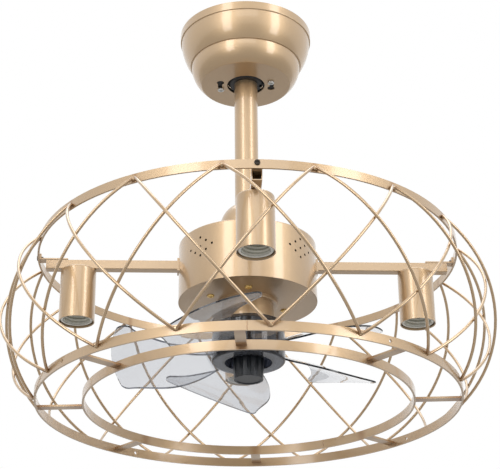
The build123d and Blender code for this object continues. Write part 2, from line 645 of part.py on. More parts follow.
def make_motor_base():
    """The cast base on the pan, with the tube that holds both bearings."""
    base = ring(BASE_RADIUS, 0, BASE_TOP, PAN_INSIDE) + ring(TUBE_RADIUS, 0, TUBE_TOP, PAN_INSIDE)
    base -= ring(BEARING_RADIUS + RUNNING, 0, TUBE_TOP - 1, TUBE_TOP + BEARING_WIDTH + SEAT)
    base -= ring(BEARING_RADIUS + RUNNING, 0, PAN_INSIDE - BEARING_WIDTH - SEAT, PAN_INSIDE + 1)
    base -= ring(SHAFT_HOLE, 0, TUBE_TOP - 1, PAN_INSIDE + 1)
    for azimuth in PAN_SCREW_AZIMUTHS:
        place = spot(PAN_SCREW_CIRCLE, azimuth)
        base -= upright(PAN_SCREW_RADIUS + SEAT, PAN_INSIDE - PAN_SCREW_DEPTH, PAN_INSIDE + 1, place)
    return base


def make_bearings():
    """Two shielded ball bearings, each closed by its shields."""
    tops = (TUBE_TOP, PAN_INSIDE - BEARING_WIDTH)
    return [ring(BEARING_RADIUS, SHAFT_RADIUS + RUNNING, top, top + BEARING_WIDTH) for top in tops]


def make_stator():
    """The laminated stack: a hub with twelve teeth and their pole shoes."""
    top = STATOR_DROP - STATOR_HEIGHT
    core = ring(STATOR_YOKE, TUBE_RADIUS + SEAT, top, STATOR_DROP)
    shoes = ring(STATOR_RADIUS, STATOR_RADIUS - TOOTH_TIP, top, STATOR_DROP)
    length = STATOR_RADIUS - TOOTH_TIP / 2 - STATOR_YOKE + 2
    middle = STATOR_YOKE - 2 + length / 2
    for tooth in range(STATOR_TEETH):
        azimuth = tooth * 360 / STATOR_TEETH
        bar = Pos(0, -middle, -STATOR_DROP) * Box(TOOTH_WIDTH, length, STATOR_HEIGHT, align=BASE_ALIGN)
        core += turned(azimuth, bar)
        gap_place = Pos(0, -STATOR_RADIUS, -STATOR_DROP - 1)
        gap = gap_place * Box(TOOTH_SLOT, 4 * TOOTH_TIP, STATOR_HEIGHT + 2, align=BASE_ALIGN)
        shoes -= turned(azimuth + 180 / STATOR_TEETH, gap)
    return core + shoes


def make_coils():
    """A copper winding round each of the stator's teeth."""
    inside = STATOR_YOKE + COIL_INSET
    outside = STATOR_RADIUS - TOOTH_TIP - 5 * LOOSE
    length = outside - inside
    winding = Box(TOOTH_WIDTH + 2 * COIL_THICKNESS, length, STATOR_HEIGHT + 2 * COIL_THICKNESS)
    winding = fillet(winding.edges().filter_by(Axis.Y), COIL_CORNER)
    winding -= Box(TOOTH_WIDTH + 2 * LOOSE, length + 1, STATOR_HEIGHT + 2 * LOOSE)
    middle = Pos(0, -(inside + outside) / 2, -STATOR_DROP + STATOR_HEIGHT / 2)
    return [turned(tooth * 360 / STATOR_TEETH, middle * winding) for tooth in range(STATOR_TEETH)]


def make_rotor_bell():
    """The steel bell round the stator, pressed on the shaft by its boss."""
    bell = ring(BELL_RADIUS, BELL_INSIDE, BELL_TOP, STATOR_DROP + STATOR_LIFT / 2)
    bell += ring(BELL_RADIUS, 0, BELL_TOP, BELL_ROOF)
    bell += ring(BELL_BOSS_RADIUS, 0, SHAFT_TOP + 1, BELL_ROOF)
    return bell - ring(SHAFT_RADIUS + RUNNING, 0, SHAFT_TOP - 1, BELL_ROOF + 1)


def make_magnets():
    """Twelve arc magnets glued inside the bell."""
    outer = BELL_INSIDE - RUNNING
    band = ring(outer, outer - MAGNET_THICKNESS, STATOR_DROP - STATOR_HEIGHT - 1, STATOR_DROP + 1)
    half = MAGNET_SHARE * 180 / MAGNET_COUNT
    slice_place = Pos(0, 0, -STATOR_DROP + STATOR_HEIGHT / 2)
    magnet = band & slice_place * sector(2 * outer, -half, half, 2 * STATOR_HEIGHT)
    return [turned(index * 360 / MAGNET_COUNT, magnet) for index in range(MAGNET_COUNT)]


def make_motor_shaft():
    shaft = ring(SHAFT_RADIUS, 0, SHAFT_TOP, SHAFT_END)
    shaft = chamfer(shaft.edges(), 0.5)
    reach = 2 * SHAFT_RADIUS
    return shaft - crosswise(DRIVE_PIN_RADIUS + RUNNING, -reach, reach, DRIVE_PIN_DROP)


def make_control_board():
    """The driver board on three spacers under the drum's lid, with its two capacitors."""
    under = BOARD_DROP + BOARD_THICKNESS
    edge = BOARD_RADIUS - CAPACITOR_RADIUS - 1
    board = ring(BOARD_RADIUS, BOARD_HOLE, BOARD_DROP, under)
    for azimuth in (0, 120, 240):
        board += upright(SPACER_RADIUS, DRUM_TOP + DRUM_LID, BOARD_DROP, spot(edge, azimuth))
    for azimuth in (200, 215):
        board += upright(CAPACITOR_RADIUS, under, under + CAPACITOR_HEIGHT, spot(edge, azimuth))
    return board


def make_arm(azimuth):
    """A square tube from the drum's wall to just short of the cage."""
    inner = DRUM_INSIDE
    length = ARM_REACH - inner
    place = Pos(0, -(inner + length / 2), -ARM_MIDDLE)
    arm = Box(ARM_SIZE, length, ARM_SIZE)
    arm = fillet(arm.edges().filter_by(Axis.Y), 0.8)
    arm -= Box(ARM_SIZE - 2 * ARM_WALL, length + 1, ARM_SIZE - 2 * ARM_WALL)
    arm = place * arm - ring(DRUM_RADIUS + SEAT, 0, DRUM_TOP, DRUM_BOTTOM)
    arm -= upright(NIPPLE_RADIUS + SEAT, ARM_MIDDLE, ARM_BOTTOM + 1, spot(CUP_CIRCLE, 0))
    return turned(azimuth, arm)


def make_arm_flanges():
    """A small square plate round each arm's root, against the drum."""
    depth = ARM_FLANGE_THICKNESS + DRUM_WALL
    place = Pos(0, -(DRUM_INSIDE + depth / 2), -ARM_MIDDLE)
    hole = ARM_SIZE + 2 * SEAT
    plate = Box(ARM_FLANGE_SIZE, depth, ARM_FLANGE_SIZE) - Box(hole, depth + 1, hole)
    plate = place * plate - ring(DRUM_RADIUS + SEAT, 0, DRUM_TOP, DRUM_BOTTOM)
    return [turned(azimuth, plate) for azimuth in ARM_NAMES.values()]


def make_ring_straps():
    """A flat strap on each arm's end, with a tab turned up behind the top ring."""
    t = RING_STRAP_THICKNESS
    start = TOP_RING_INSIDE - RING_STRAP_LENGTH
    tab = TOP_RING_INSIDE - t
    end = TOP_RING_INSIDE + 1
    bottom = -ARM_DROP + SEAT
    top = -TOP_RING_DROP - 0.4
    points = [(-start, bottom), (-end, bottom), (-end, top), (-tab, top)]
    points += [(-tab, bottom + t), (-start, bottom + t), (-start, bottom)]
    strap = extrude(make_face(Plane.YZ * Polyline(*points)), ARM_SIZE / 2, both=True)
    strap &= ring(TOP_RING_INSIDE - SEAT, 0, TOP_RING_DROP, ARM_BOTTOM)
    drill = Rot(90, 0, 0) * Cylinder(RING_SCREW_RADIUS + SEAT, 4 * t)
    strap -= Pos(0, -tab, -RING_SCREW_DROP) * drill
    return [turned(azimuth, strap) for azimuth in ARM_NAMES.values()]


def make_ring_screws():
    """The screws through the top ring into the straps' tabs."""
    length = RING_THICKNESS + RING_STRAP_THICKNESS + RING_SCREW_RADIUS
    screw = Rot(90, 0, 0) * pan_head_screw(RING_SCREW_RADIUS, RING_SCREW_HEAD, 1.4, length)
    place = Pos(0, -TOP_RING_RADIUS - SEAT, -RING_SCREW_DROP)
    return [turned(azimuth, place * screw) for azimuth in ARM_NAMES.values()]


def cup_outline(inset):
    """Half section of a lamp cup: a flat top, a round shoulder and a straight wall."""
    wall = CUP_RADIUS - inset
    top = -CUP_TOP - inset
    turn = CUP_SHOULDER - inset
    bend = (wall - turn + turn * sin(radians(45)), top - turn + turn * cos(radians(45)))
    bottom = -CUP_MOUTH
    outline = Line((0, top), (wall - turn, top))
    outline += ThreePointArc((wall - turn, top), bend, (wall, top - turn))
    outline += Polyline((wall, top - turn), (wall, bottom), (0, bottom), (0, top))
    return outline


def at_cup(azimuth, shape):
    """A shape made on the rod's axis, moved out to a lamp cup's axis."""
    place = spot(CUP_CIRCLE, azimuth)
    return Pos(place.X, place.Y, 0) * Rot(0, 0, azimuth) * shape


def make_lamp_cup(azimuth):
    cup = spun(cup_outline(0)) - spun(cup_outline(CUP_WALL))
    cup -= ring(NIPPLE_RADIUS + LOOSE, 0, CUP_TOP - 1, CUP_TOP + 3 * CUP_WALL)
    return at_cup(azimuth, cup)


def make_socket(azimuth):
    """The insulating lamp holder: a thick cup, open below."""
    socket = ring(SOCKET_RADIUS, 0, SOCKET_TOP, SOCKET_FACE)
    socket = fillet(socket.edges().group_by(Axis.Z)[-1], SOCKET_SHOULDER)
    socket -= ring(SHELL_RADIUS + SEAT, 0, SHELL_TOP, SOCKET_FACE + 1)
    socket -= ring(NIPPLE_RADIUS + SEAT, 0, SOCKET_TOP - 1, SOCKET_TOP + SOCKET_ROOF)
    socket -= ring(NIPPLE_BORE, 0, SOCKET_TOP, SHELL_TOP + 1)
    socket -= ring(CONTACT_LENGTH / 2 + LOOSE, 0, CONTACT_TOP, SHELL_TOP + 1)
    return at_cup(azimuth, socket)


def make_socket_shell(azimuth):
    """The screw shell that takes the bulb's cap."""
    top = SHELL_TOP + SEAT
    shell = ring(SHELL_RADIUS, SHELL_BORE, top, SHELL_END)
    shell += ring(SHELL_RADIUS, SHELL_LIP, top, top + SHELL_WALL)
    return at_cup(azimuth, shell)


def make_socket_contacts():
    """The sprung centre contact, recessed above each shell so that its button ends at the lip."""
    top = CONTACT_TOP + SEAT
    leaf = ring(CONTACT_LENGTH / 2, 0, top, top + CONTACT_THICKNESS)
    leaf &= Pos(0, 0, -top) * Box(CONTACT_LENGTH, CONTACT_WIDTH, 4 * CONTACT_THICKNESS)
    button = ring(CONTACT_RADIUS, 0, top, SHELL_TOP + CONTACT_THICKNESS)
    return [at_cup(azimuth, leaf + button) for azimuth in ARM_NAMES.values()]


def make_socket_nipples():
    """The hollow threaded tube that joins arm, cup and socket."""
    top = ARM_BOTTOM - NIPPLE_RADIUS
    nipple = ring(NIPPLE_RADIUS, NIPPLE_BORE, top, SOCKET_TOP + SOCKET_ROOF - 1)
    return [at_cup(azimuth, nipple) for azimuth in ARM_NAMES.values()]


def make_nipple_nuts():
    hexagon = RegularPolygon(NUT_ACROSS / 2, 6, major_radius=False) - Circle(NIPPLE_RADIUS + SEAT)
    nut = Pos(0, 0, -NUT_TOP - NUT_THICKNESS) * extrude(hexagon, NUT_THICKNESS)
    return [at_cup(azimuth, nut) for azimuth in ARM_NAMES.values()]


def make_cage_top_ring():
    """The flat hoop on the arms' ends, drilled for its four screws."""
    band = ring(TOP_RING_RADIUS, TOP_RING_INSIDE, TOP_RING_DROP, TOP_RING_DROP + TOP_RING_HEIGHT)
    drill = Rot(90, 0, 0) * Cylinder(RING_SCREW_RADIUS + SEAT, 4 * RING_THICKNESS)
    drill = Pos(0, -TOP_RING_RADIUS, -RING_SCREW_DROP) * drill
    return band - [turned(azimuth, drill) for azimuth in ARM_NAMES.values()]


def make_cage_bottom_ring():
    """The outer of the two bottom rings, drilled at four places."""
    band = ring(BOTTOM_RING_RADIUS, BOTTOM_RING_INSIDE, BOTTOM_RING_DROP, CAGE_BOTTOM)
    drill = Rot(90, 0, 0) * Cylinder(HANG_HOLE_RADIUS, 4 * RING_THICKNESS)
    drill = Pos(0, -BOTTOM_RING_RADIUS, -SPOKE_DROP) * drill
    return band - [turned(HANG_HOLE_AZIMUTH + azimuth, drill) for azimuth in ARM_NAMES.values()]


def make_cage_inner_ring():
    return ring(INNER_RING_RADIUS, INNER_RING_RADIUS - RING_THICKNESS, BOTTOM_RING_DROP, CAGE_BOTTOM)


def make_cage_spokes():
    """Flat bars that join the two bottom rings, ends rounded to fit them."""
    inner = INNER_RING_RADIUS + LOOSE
    outer = BOTTOM_RING_INSIDE - LOOSE
    length = outer - inner + SPOKE_WIDTH
    top = SPOKE_DROP - SPOKE_THICKNESS / 2
    bottom = SPOKE_DROP + SPOKE_THICKNESS / 2
    bar = Pos(0, -(inner + outer) / 2, -SPOKE_DROP) * Box(SPOKE_WIDTH, length, SPOKE_THICKNESS)
    bar &= ring(outer, inner, top - 1, bottom + 1)
    return [turned(SPOKE_AZIMUTH + index * 360 / SPOKE_COUNT, bar) for index in range(SPOKE_COUNT)]


def cage_wire(side, bulge):
    """One round wire, bent to an arc in one plane, from the top ring to the bottom ring.

    side is 1 where the wire leans to the right as it goes down and -1 where it leans to the left.
    """
    sweep_angle = WIRE_PITCHES * 360 / WIRES_PER_LAYER
    spread = degrees((WIRE_RADIUS + TIP_GAP) / TOP_RING_RADIUS)
    tip_gap = TIP_LEAN * WIRE_RADIUS + SEAT
    top = spot(TOP_RING_RADIUS + tip_gap, side * spread, WIRE_TOP_DROP)
    middle = spot(bulge, side * sweep_angle / 2, WIRE_MIDDLE_DROP)
    bottom = spot(BOTTOM_RING_RADIUS + tip_gap, side * (sweep_angle - spread), WIRE_END_DROP)
    path = ThreePointArc(top, middle, bottom)
    section = Plane(origin=path @ 0, z_dir=path % 0) * Circle(WIRE_RADIUS)
    return sweep(section, path=path)


def make_wire_layer(side, bulge):
    """The wires of one hand, evenly spaced round the cage."""
    wire = cage_wire(side, bulge)
    pitch = 360 / WIRES_PER_LAYER
    return [turned(WIRE_AZIMUTH + index * pitch, wire) for index in range(WIRES_PER_LAYER)]


def blade_distance(share):
    """The distance out from the axis at a share of the blade's span."""
    root = HUB_RADIUS - BLADE_ROOT_INSET
    return root + share * (BLADE_REACH - root)


def blade_section(station):
    """A thin cambered strip across the blade at one share of its span."""
    share, offset, drop, pitch = station
    plane = Plane(origin=(0, -blade_distance(share), -HUB_DROP), x_dir=(1, 0, 0), z_dir=(0, -1, 0))
    along = Vector(cos(radians(pitch)), sin(radians(pitch)))
    normal = Vector(-along.Y, along.X)
    middle = Vector(offset, -drop)
    start = middle - along * BLADE_HALF_WIDTH - normal * BLADE_CAMBER
    end = middle + along * BLADE_HALF_WIDTH - normal * BLADE_CAMBER
    lift = normal * BLADE_THICKNESS
    outline = ThreePointArc(start, middle, end)
    outline += Line(end, end + lift)
    outline += ThreePointArc(end + lift, middle + lift, start + lift)
    outline += Line(start + lift, start)
    return plane * make_face(outline)


def blade_plan():
    """The blade's outline seen from above: a narrow root, a swept lobe and a round rim."""
    back = [(across, -blade_distance(share)) for share, across in TRAILING_EDGE]
    front = [(across, -blade_distance(share)) for share, across in LEADING_EDGE]
    corner = spot(BLADE_REACH, TRAILING_CORNER_ANGLE)
    lobe = spot(BLADE_REACH, LOBE_ANGLE)
    outline = Spline(*back, corner)
    outline += ThreePointArc(corner, (0, -BLADE_REACH), lobe)
    outline += Spline(lobe, *reversed(front))
    outline += Line(front[0], back[0])
    plan = make_face(outline)
    plan = fillet(plan.vertices().sort_by_distance(corner)[0], BLADE_CORNER_RADIUS)
    return fillet(plan.vertices().sort_by_distance(lobe)[0], LOBE_RADIUS)


def make_blade():
    """One blade drawn to the front: a twisted sheet cut to its outline."""
    sheet = loft([blade_section(station) for station in BLADE_STATIONS])
    column = Pos(0, 0, -HUB_DROP - 2 * HUB_HEIGHT) * extrude(blade_plan(), 3 * HUB_HEIGHT)
    return sheet & column


def make_hub():
    """The open-topped hub: a wall, a floor with a well for the knob, and a keyed boss."""
    hub = ring(HUB_RADIUS, 0, HUB_DROP, HUB_BOTTOM)
    hub = fillet(hub.edges().group_by(Axis.Z)[0], 2.5)
    hub -= ring(HUB_RADIUS - HUB_WALL, WELL_RADIUS + HUB_WALL, HUB_DROP - 1, HUB_BOTTOM - HUB_FLOOR)
    hub -= ring(WELL_RADIUS + HUB_WALL + 1, 0, HUB_DROP - 1, WELL_ROOF - HUB_FLOOR)
    hub -= ring(WELL_RADIUS, 0, WELL_ROOF, HUB_BOTTOM + 1)
    hub += ring(BOSS_RADIUS, 0, BOSS_TOP, WELL_ROOF)
    length = HUB_RADIUS - WELL_RADIUS - 2
    rib = Box(RIB_THICKNESS, length, RIB_HEIGHT, align=BASE_ALIGN)
    rib = Pos(0, -WELL_RADIUS - 1 - length / 2, -HUB_BOTTOM + HUB_FLOOR / 2) * rib
    hub += [turned(index * 360 / BLADE_COUNT, rib) for index in range(BLADE_COUNT)]
    hub -= ring(SHAFT_RADIUS + RUNNING, 0, BOSS_TOP - 1, WELL_ROOF + 1)
    slot_width = 2 * DRIVE_PIN_RADIUS + LOOSE
    return hub - Pos(0, 0, -DRIVE_PIN_DROP) * Box(4 * BOSS_RADIUS, slot_width, slot_width)


def make_impeller():
    """Hub and five blades, moulded in one piece."""
    blade = make_blade() - ring(HUB_RADIUS - HUB_WALL / 2, 0, HUB_DROP - 1, HUB_BOTTOM + HUB_HEIGHT)
    impeller = make_hub()
    for index in range(BLADE_COUNT):
        impeller += turned(BLADE_AZIMUTH + index * 360 / BLADE_COUNT, blade)
    return impeller


def make_drive_pin():
    """The pin through the shaft that carries and drives the impeller's boss."""
    return crosswise(DRIVE_PIN_RADIUS, -DRIVE_PIN_LENGTH / 2, DRIVE_PIN_LENGTH / 2, DRIVE_PIN_DROP)


def make_spinner_collar():
    """The washer between the well's roof and the knob."""
    return ring(COLLAR_RADIUS, SHAFT_RADIUS + LOOSE, COLLAR_TOP, COLLAR_BOTTOM)


def make_spinner_knob():
    """The fluted nut that holds the impeller on its shaft."""
    grip = Pos(0, 0, -KNOB_BOTTOM) * Cone(KNOB_TIP_RADIUS, KNOB_RADIUS, KNOB_HEIGHT, align=BASE_ALIGN)
    lean = degrees(asin((KNOB_RADIUS - KNOB_TIP_RADIUS) / KNOB_HEIGHT))
    for index in range(KNOB_FLUTES):
        cutter = Rot(-lean, 0, 0) * Cylinder(KNOB_FLUTE_RADIUS, 2 * KNOB_HEIGHT)
        place = Pos(0, -(KNOB_RADIUS + KNOB_TIP_RADIUS) / 2 - KNOB_FLUTE_RADIUS * 0.55, -KNOB_BOTTOM)
        grip -= turned(index * 360 / KNOB_FLUTES, place * cutter)
    grip -= ring(KNOB_TIP_RADIUS - 2.5, 0, KNOB_BOTTOM - 0.6, KNOB_BOTTOM + 1)
    knob = grip + ring(KNOB_SLEEVE_RADIUS, 0, COLLAR_BOTTOM + SEAT, GRIP_TOP + 1)
    return knob - ring(SHAFT_RADIUS + RUNNING, 0, COLLAR_BOTTOM - 1, KNOB_BOTTOM - KNOB_FLOOR)


def parts():
    """Every node of the fan, by name."""
    nodes = {
        "hanger_bracket": make_hanger_bracket(),
        "canopy": make_canopy(),
        "canopy_screws": make_canopy_screws(),
        "receiver_box": make_receiver_box(),
        "hanger_ball": make_hanger_ball(),
        "ball_pin": make_ball_pin(),
        "ball_set_screw": make_ball_set_screw(),
        "downrod": make_downrod(),
        "yoke": make_yoke(),
        "yoke_screws": make_yoke_screws(),
        "yoke_cover": make_yoke_cover(),
        "clevis_pin": make_clevis_pin(),
        "cotter_pin": make_cotter_pin(),
        "motor_housing": make_motor_housing(),
        "bottom_pan": make_bottom_pan(),
        "pan_screws": make_pan_screws(),
        "neck_sleeve": make_neck_sleeve(),
        "motor_base": make_motor_base(),
        "bearings": make_bearings(),
        "stator": make_stator(),
        "coils": make_coils(),
        "control_board": make_control_board(),
        "arm_flanges": make_arm_flanges(),
        "ring_straps": make_ring_straps(),
        "ring_screws": make_ring_screws(),
        "socket_contacts": make_socket_contacts(),
        "socket_nipples": make_socket_nipples(),
        "nipple_nuts": make_nipple_nuts(),
        "cage_top_ring": make_cage_top_ring(),
        "cage_bottom_ring": make_cage_bottom_ring(),
        "cage_inner_ring": make_cage_inner_ring(),
        "cage_spokes": make_cage_spokes(),
        "cage_wires_outer": make_wire_layer(1, OUTER_BULGE),
        "cage_wires_inner": make_wire_layer(-1, INNER_BULGE),
        "rotor_bell": make_rotor_bell(),
        "magnets": make_magnets(),
        "motor_shaft": make_motor_shaft(),
        "impeller": make_impeller(),
        "drive_pin": make_drive_pin(),
        "spinner_collar": make_spinner_collar(),
        "spinner_knob": make_spinner_knob(),
    }
    for name, azimuth in ARM_NAMES.items():
        nodes["arm_" + name] = make_arm(azimuth)
        nodes["lamp_cup_" + name] = make_lamp_cup(azimuth)
        nodes["socket_" + name] = make_socket(azimuth)
        nodes["socket_shell_" + name] = make_socket_shell(azimuth)
    return nodes


os.makedirs("parts", exist_ok=True)
for node, shape in parts().items():
    group = Compound(shape) if isinstance(shape, list) else shape
    export_step(group, "parts/" + node + ".step")
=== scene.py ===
# %% [markdown]
# # A caged ceiling fan with four lamp cups
# This fan comes as a finished solid model, with its real pieces in named nodes. Blender's part is the
# dress: paint, clear plastic, the screw threads in the lamp sockets and the welds of the cage. The model
# is loaded first, because every piece added here takes its place from it.

# %% Load the fan
import json
import math

import bmesh
import bpy
from mathutils import Matrix, Vector, noise


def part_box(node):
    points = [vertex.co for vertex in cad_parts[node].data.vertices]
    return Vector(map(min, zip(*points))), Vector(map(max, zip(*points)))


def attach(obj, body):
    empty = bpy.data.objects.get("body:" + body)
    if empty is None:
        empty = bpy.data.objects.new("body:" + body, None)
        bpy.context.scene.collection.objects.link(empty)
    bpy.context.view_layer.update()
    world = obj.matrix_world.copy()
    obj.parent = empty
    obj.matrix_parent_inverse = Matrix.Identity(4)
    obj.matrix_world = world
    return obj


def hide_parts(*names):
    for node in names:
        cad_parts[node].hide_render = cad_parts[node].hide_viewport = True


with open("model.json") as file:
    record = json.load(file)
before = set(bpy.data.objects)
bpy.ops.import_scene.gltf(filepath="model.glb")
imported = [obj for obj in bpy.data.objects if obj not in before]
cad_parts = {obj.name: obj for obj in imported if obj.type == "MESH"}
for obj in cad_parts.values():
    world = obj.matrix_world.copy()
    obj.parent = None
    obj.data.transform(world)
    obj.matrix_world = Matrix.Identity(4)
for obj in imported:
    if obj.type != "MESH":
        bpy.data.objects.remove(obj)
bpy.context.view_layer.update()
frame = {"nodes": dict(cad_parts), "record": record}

MM = 0.001

# %% [markdown]
# ## The camera
# The photograph looks up at the fan from below, a little from its left. The camera's place was worked out
# from the cage's rings, which show as ellipses, and its wires. It could be placed by eye, but matched
# curves pin the distance and the tilt far better, and the distance decides how the near side grows.

# %% Camera
CAMERA_PLACE = Vector((-60.7, -1358.5, -880.2)) * MM
CAMERA_HEADING = math.radians(-2.68)
CAMERA_PITCH = math.radians(25.08)
CAMERA_ROLL = math.radians(-0.59)
FOCAL_PIXELS = 1428.7
PHOTO_WIDTH = 500
SENSOR = 36.0

camera_data = bpy.data.cameras.new("photo_camera")
camera = bpy.data.objects.new("photo_camera", camera_data)
bpy.context.scene.collection.objects.link(camera)
camera_data.sensor_width = SENSOR
camera_data.lens = FOCAL_PIXELS / PHOTO_WIDTH * SENSOR
turn = Matrix.Rotation(CAMERA_HEADING, 4, "Z") @ Matrix.Rotation(math.pi / 2 + CAMERA_PITCH, 4, "X")
camera.matrix_world = Matrix.Translation(CAMERA_PLACE) @ turn @ Matrix.Rotation(CAMERA_ROLL, 4, "Z")
bpy.context.scene.camera = camera
print("lens in mm:", round(camera_data.lens, 1))

# %% [markdown]
# ## Backdrop
# The fan hangs in front of plain white. A white backdrop that lit the fan would wash out the paint, so
# the world is white only for the camera, for mirror images and through clear plastic. For all other
# light it is a calm grey that grows darker towards the ground, as a studio does.

# %% Tones of the backdrop
SKY_TOP = (0.60, 0.60, 0.60, 1)
SKY_SIDE = (0.80, 0.80, 0.80, 1)
SKY_LOW_SIDE = (0.50, 0.48, 0.46, 1)
SKY_GROUND = (0.36, 0.33, 0.30, 1)
SIDE_LEVEL = 0.52
LOW_SIDE_LEVEL = 0.36
ROOM_STRENGTH = 0.98

world = bpy.data.worlds.new("white_studio")
bpy.context.scene.world = world
world.use_nodes = True
sky = world.node_tree
sky.nodes.clear()


def sky_node(kind, **values):
    """A node of the backdrop with its values set."""
    node = sky.nodes.new(kind)
    for key, value in values.items():
        node.inputs[key].default_value = value
    return node


# %% Grey for the light
direction = sky_node("ShaderNodeTexCoord")
split = sky_node("ShaderNodeSeparateXYZ")
height = sky_node("ShaderNodeMapRange", **{"From Min": -1.0, "From Max": 1.0})
ramp = sky_node("ShaderNodeValToRGB")
ramp.color_ramp.elements[0].color = SKY_GROUND
ramp.color_ramp.elements[1].color = SKY_TOP
ramp.color_ramp.elements.new(SIDE_LEVEL).color = SKY_SIDE
ramp.color_ramp.elements.new(LOW_SIDE_LEVEL).color = SKY_LOW_SIDE
room = sky_node("ShaderNodeBackground", Strength=ROOM_STRENGTH)
sky.links.new(direction.outputs["Generated"], split.inputs[0])
sky.links.new(split.outputs["Z"], height.inputs["Value"])
sky.links.new(height.outputs[0], ramp.inputs["Fac"])
sky.links.new(ramp.outputs["Color"], room.inputs["Color"])
print("tones of the sky:", len(ramp.color_ramp.elements))

# %% White for the eye
white = sky_node("ShaderNodeBackground", Color=(1, 1, 1, 1), Strength=1.0)
path = sky_node("ShaderNodeLightPath")
seen = sky_node("ShaderNodeMath")
seen.operation = "MAXIMUM"
seen_or_mirrored = sky_node("ShaderNodeMath")
seen_or_mirrored.operation = "MAXIMUM"
mix = sky_node("ShaderNodeMixShader")
output = sky_node("ShaderNodeOutputWorld")
sky.links.new(path.outputs["Is Camera Ray"], seen.inputs[0])
sky.links.new(path.outputs["Is Transmission Ray"], seen.inputs[1])
sky.links.new(seen.outputs[0], seen_or_mirrored.inputs[0])
sky.links.new(path.outputs["Is Glossy Ray"], seen_or_mirrored.inputs[1])
sky.links.new(seen_or_mirrored.outputs[0], mix.inputs[0])
sky.links.new(room.outputs[0], mix.inputs[1])
sky.links.new(white.outputs[0], mix.inputs[2])
sky.links.new(mix.outputs[0], output.inputs["Surface"])
bpy.context.scene.view_settings.view_transform = "Standard"
print("nodes of the backdrop:", len(sky.nodes))

# %% [markdown]
# ## Floor
# The floor lies far below the fan, where it darkens the mirror images in the undersides without catching
# a hard shadow. A small sheet would show its corners in other views, so it reaches 30 m each way.

# %% Floor
FLOOR_DROP = 3.2
FLOOR_HALF = 30.0
floor_mesh = bpy.data.meshes.new("studio_floor")
signs = ((-1, -1), (1, -1), (1, 1), (-1, 1))
corners = [(x * FLOOR_HALF, y * FLOOR_HALF, -FLOOR_DROP) for x, y in signs]
floor_mesh.from_pydata(corners, [], [(0, 1, 2, 3)])
floor = bpy.data.objects.new("studio_floor", floor_mesh)
bpy.context.scene.collection.objects.link(floor)
print("floor, metres across:", 2 * FLOOR_HALF)

# %% [markdown]
# ## Studio lamps
# The rod, the drum and the lamp cups each carry two soft upright streaks. Streaks like these are the
# mirror images of two tall soft boxes that stand left and right of the camera. Area lamps stand for the
# boxes. A third hangs above, because the hoops are brightest on their upper edges, and a weak fourth in
# front lights the faces of the hoops and arms that look at the camera.

# %% Lamps
MOTOR_MIDDLE = Vector((0, 0, -0.28))
TALL_BOX = (0.60, 2.2)


def soft_box(name, place, size, power):
    """A rectangular lamp that faces the motor."""
    lamp = bpy.data.lights.new(name, "AREA")
    lamp.shape = "RECTANGLE"
    lamp.size, lamp.size_y = size
    lamp.energy = power
    holder = bpy.data.objects.new(name, lamp)
    bpy.context.scene.collection.objects.link(holder)
    holder.location = place
    holder.rotation_mode = "QUATERNION"
    holder.rotation_quaternion = (MOTOR_MIDDLE - Vector(place)).to_track_quat("-Z", "Y")


soft_box("left_box", (-1.20, -1.80, 0.30), TALL_BOX, 15.5)
soft_box("right_box", (1.60, -1.40, 0.30), TALL_BOX, 16)
soft_box("top_box", (0.0, 0.3, 1.7), (1.8, 1.4), 12)
soft_box("front_box", (0.0, -2.4, 0.75), (1.6, 0.7), 4)
print("lamps:", len(bpy.data.lights))

# %% [markdown]
# ## Finishes
# Every piece is painted, plated or moulded, and no real finish is one flat colour. Each material starts
# from the same shader and gets fine noise in the object's own coordinates, so the grain keeps its real
# size and moves with the piece when the fan turns. Image textures could do it, but formulas stay sharp.


# %% Shader and grain
def new_finish(name):
    """A material with its shader, ready for nodes. Returns the material, its tree and the shader."""
    finish = bpy.data.materials.new(name)
    finish.use_nodes = True
    tree = finish.node_tree
    return finish, tree, tree.nodes["Principled BSDF"]


def grain(tree, scale, detail, stretch=(1, 1, 1)):
    """Noise at a scale in the piece's own coordinates. Returns the socket that carries it."""
    place = tree.nodes.new("ShaderNodeTexCoord")
    mapping = tree.nodes.new("ShaderNodeMapping")
    mapping.inputs["Scale"].default_value = stretch
    texture = tree.nodes.new("ShaderNodeTexNoise")
    texture.inputs["Scale"].default_value = scale
    texture.inputs["Detail"].default_value = detail
    tree.links.new(place.outputs["Object"], mapping.inputs["Vector"])
    tree.links.new(mapping.outputs["Vector"], texture.inputs["Vector"])
    return texture.outputs["Fac"]


# %% [markdown]
# Noise mostly stays near one half, so a plain colour ramp from 0 to 1 would show almost nothing of it.
# The next helpers stretch the middle of its range into roughness or a pair of tones, and press noise
# into the surface as a shallow relief.

# %% Roughness, tones and relief from noise
DARK_STOP = 0.32
LIGHT_STOP = 0.68


def spread(tree, source, low, high, reach=0.25):
    """Turns noise near one half into values from low to high."""
    scale = tree.nodes.new("ShaderNodeMapRange")
    scale.inputs["From Min"].default_value = 0.5 - reach
    scale.inputs["From Max"].default_value = 0.5 + reach
    scale.inputs["To Min"].default_value = low
    scale.inputs["To Max"].default_value = high
    tree.links.new(source, scale.inputs["Value"])
    return scale.outputs[0]


def two_tones(tree, source, dark, light):
    """A colour between dark and light, picked by noise."""
    tones = tree.nodes.new("ShaderNodeValToRGB")
    tones.color_ramp.elements[0].position = DARK_STOP
    tones.color_ramp.elements[1].position = LIGHT_STOP
    tones.color_ramp.elements[0].color = (*dark, 1)
    tones.color_ramp.elements[1].color = (*light, 1)
    tree.links.new(source, tones.inputs["Fac"])
    return tones.outputs["Color"]


def dimple(tree, shader, source, strength, depth):
    """A shallow relief from noise."""
    bump = tree.nodes.new("ShaderNodeBump")
    bump.inputs["Strength"].default_value = strength
    bump.inputs["Distance"].default_value = depth
    tree.links.new(source, bump.inputs["Height"])
    tree.links.new(bump.outputs["Normal"], shader.inputs["Normal"])


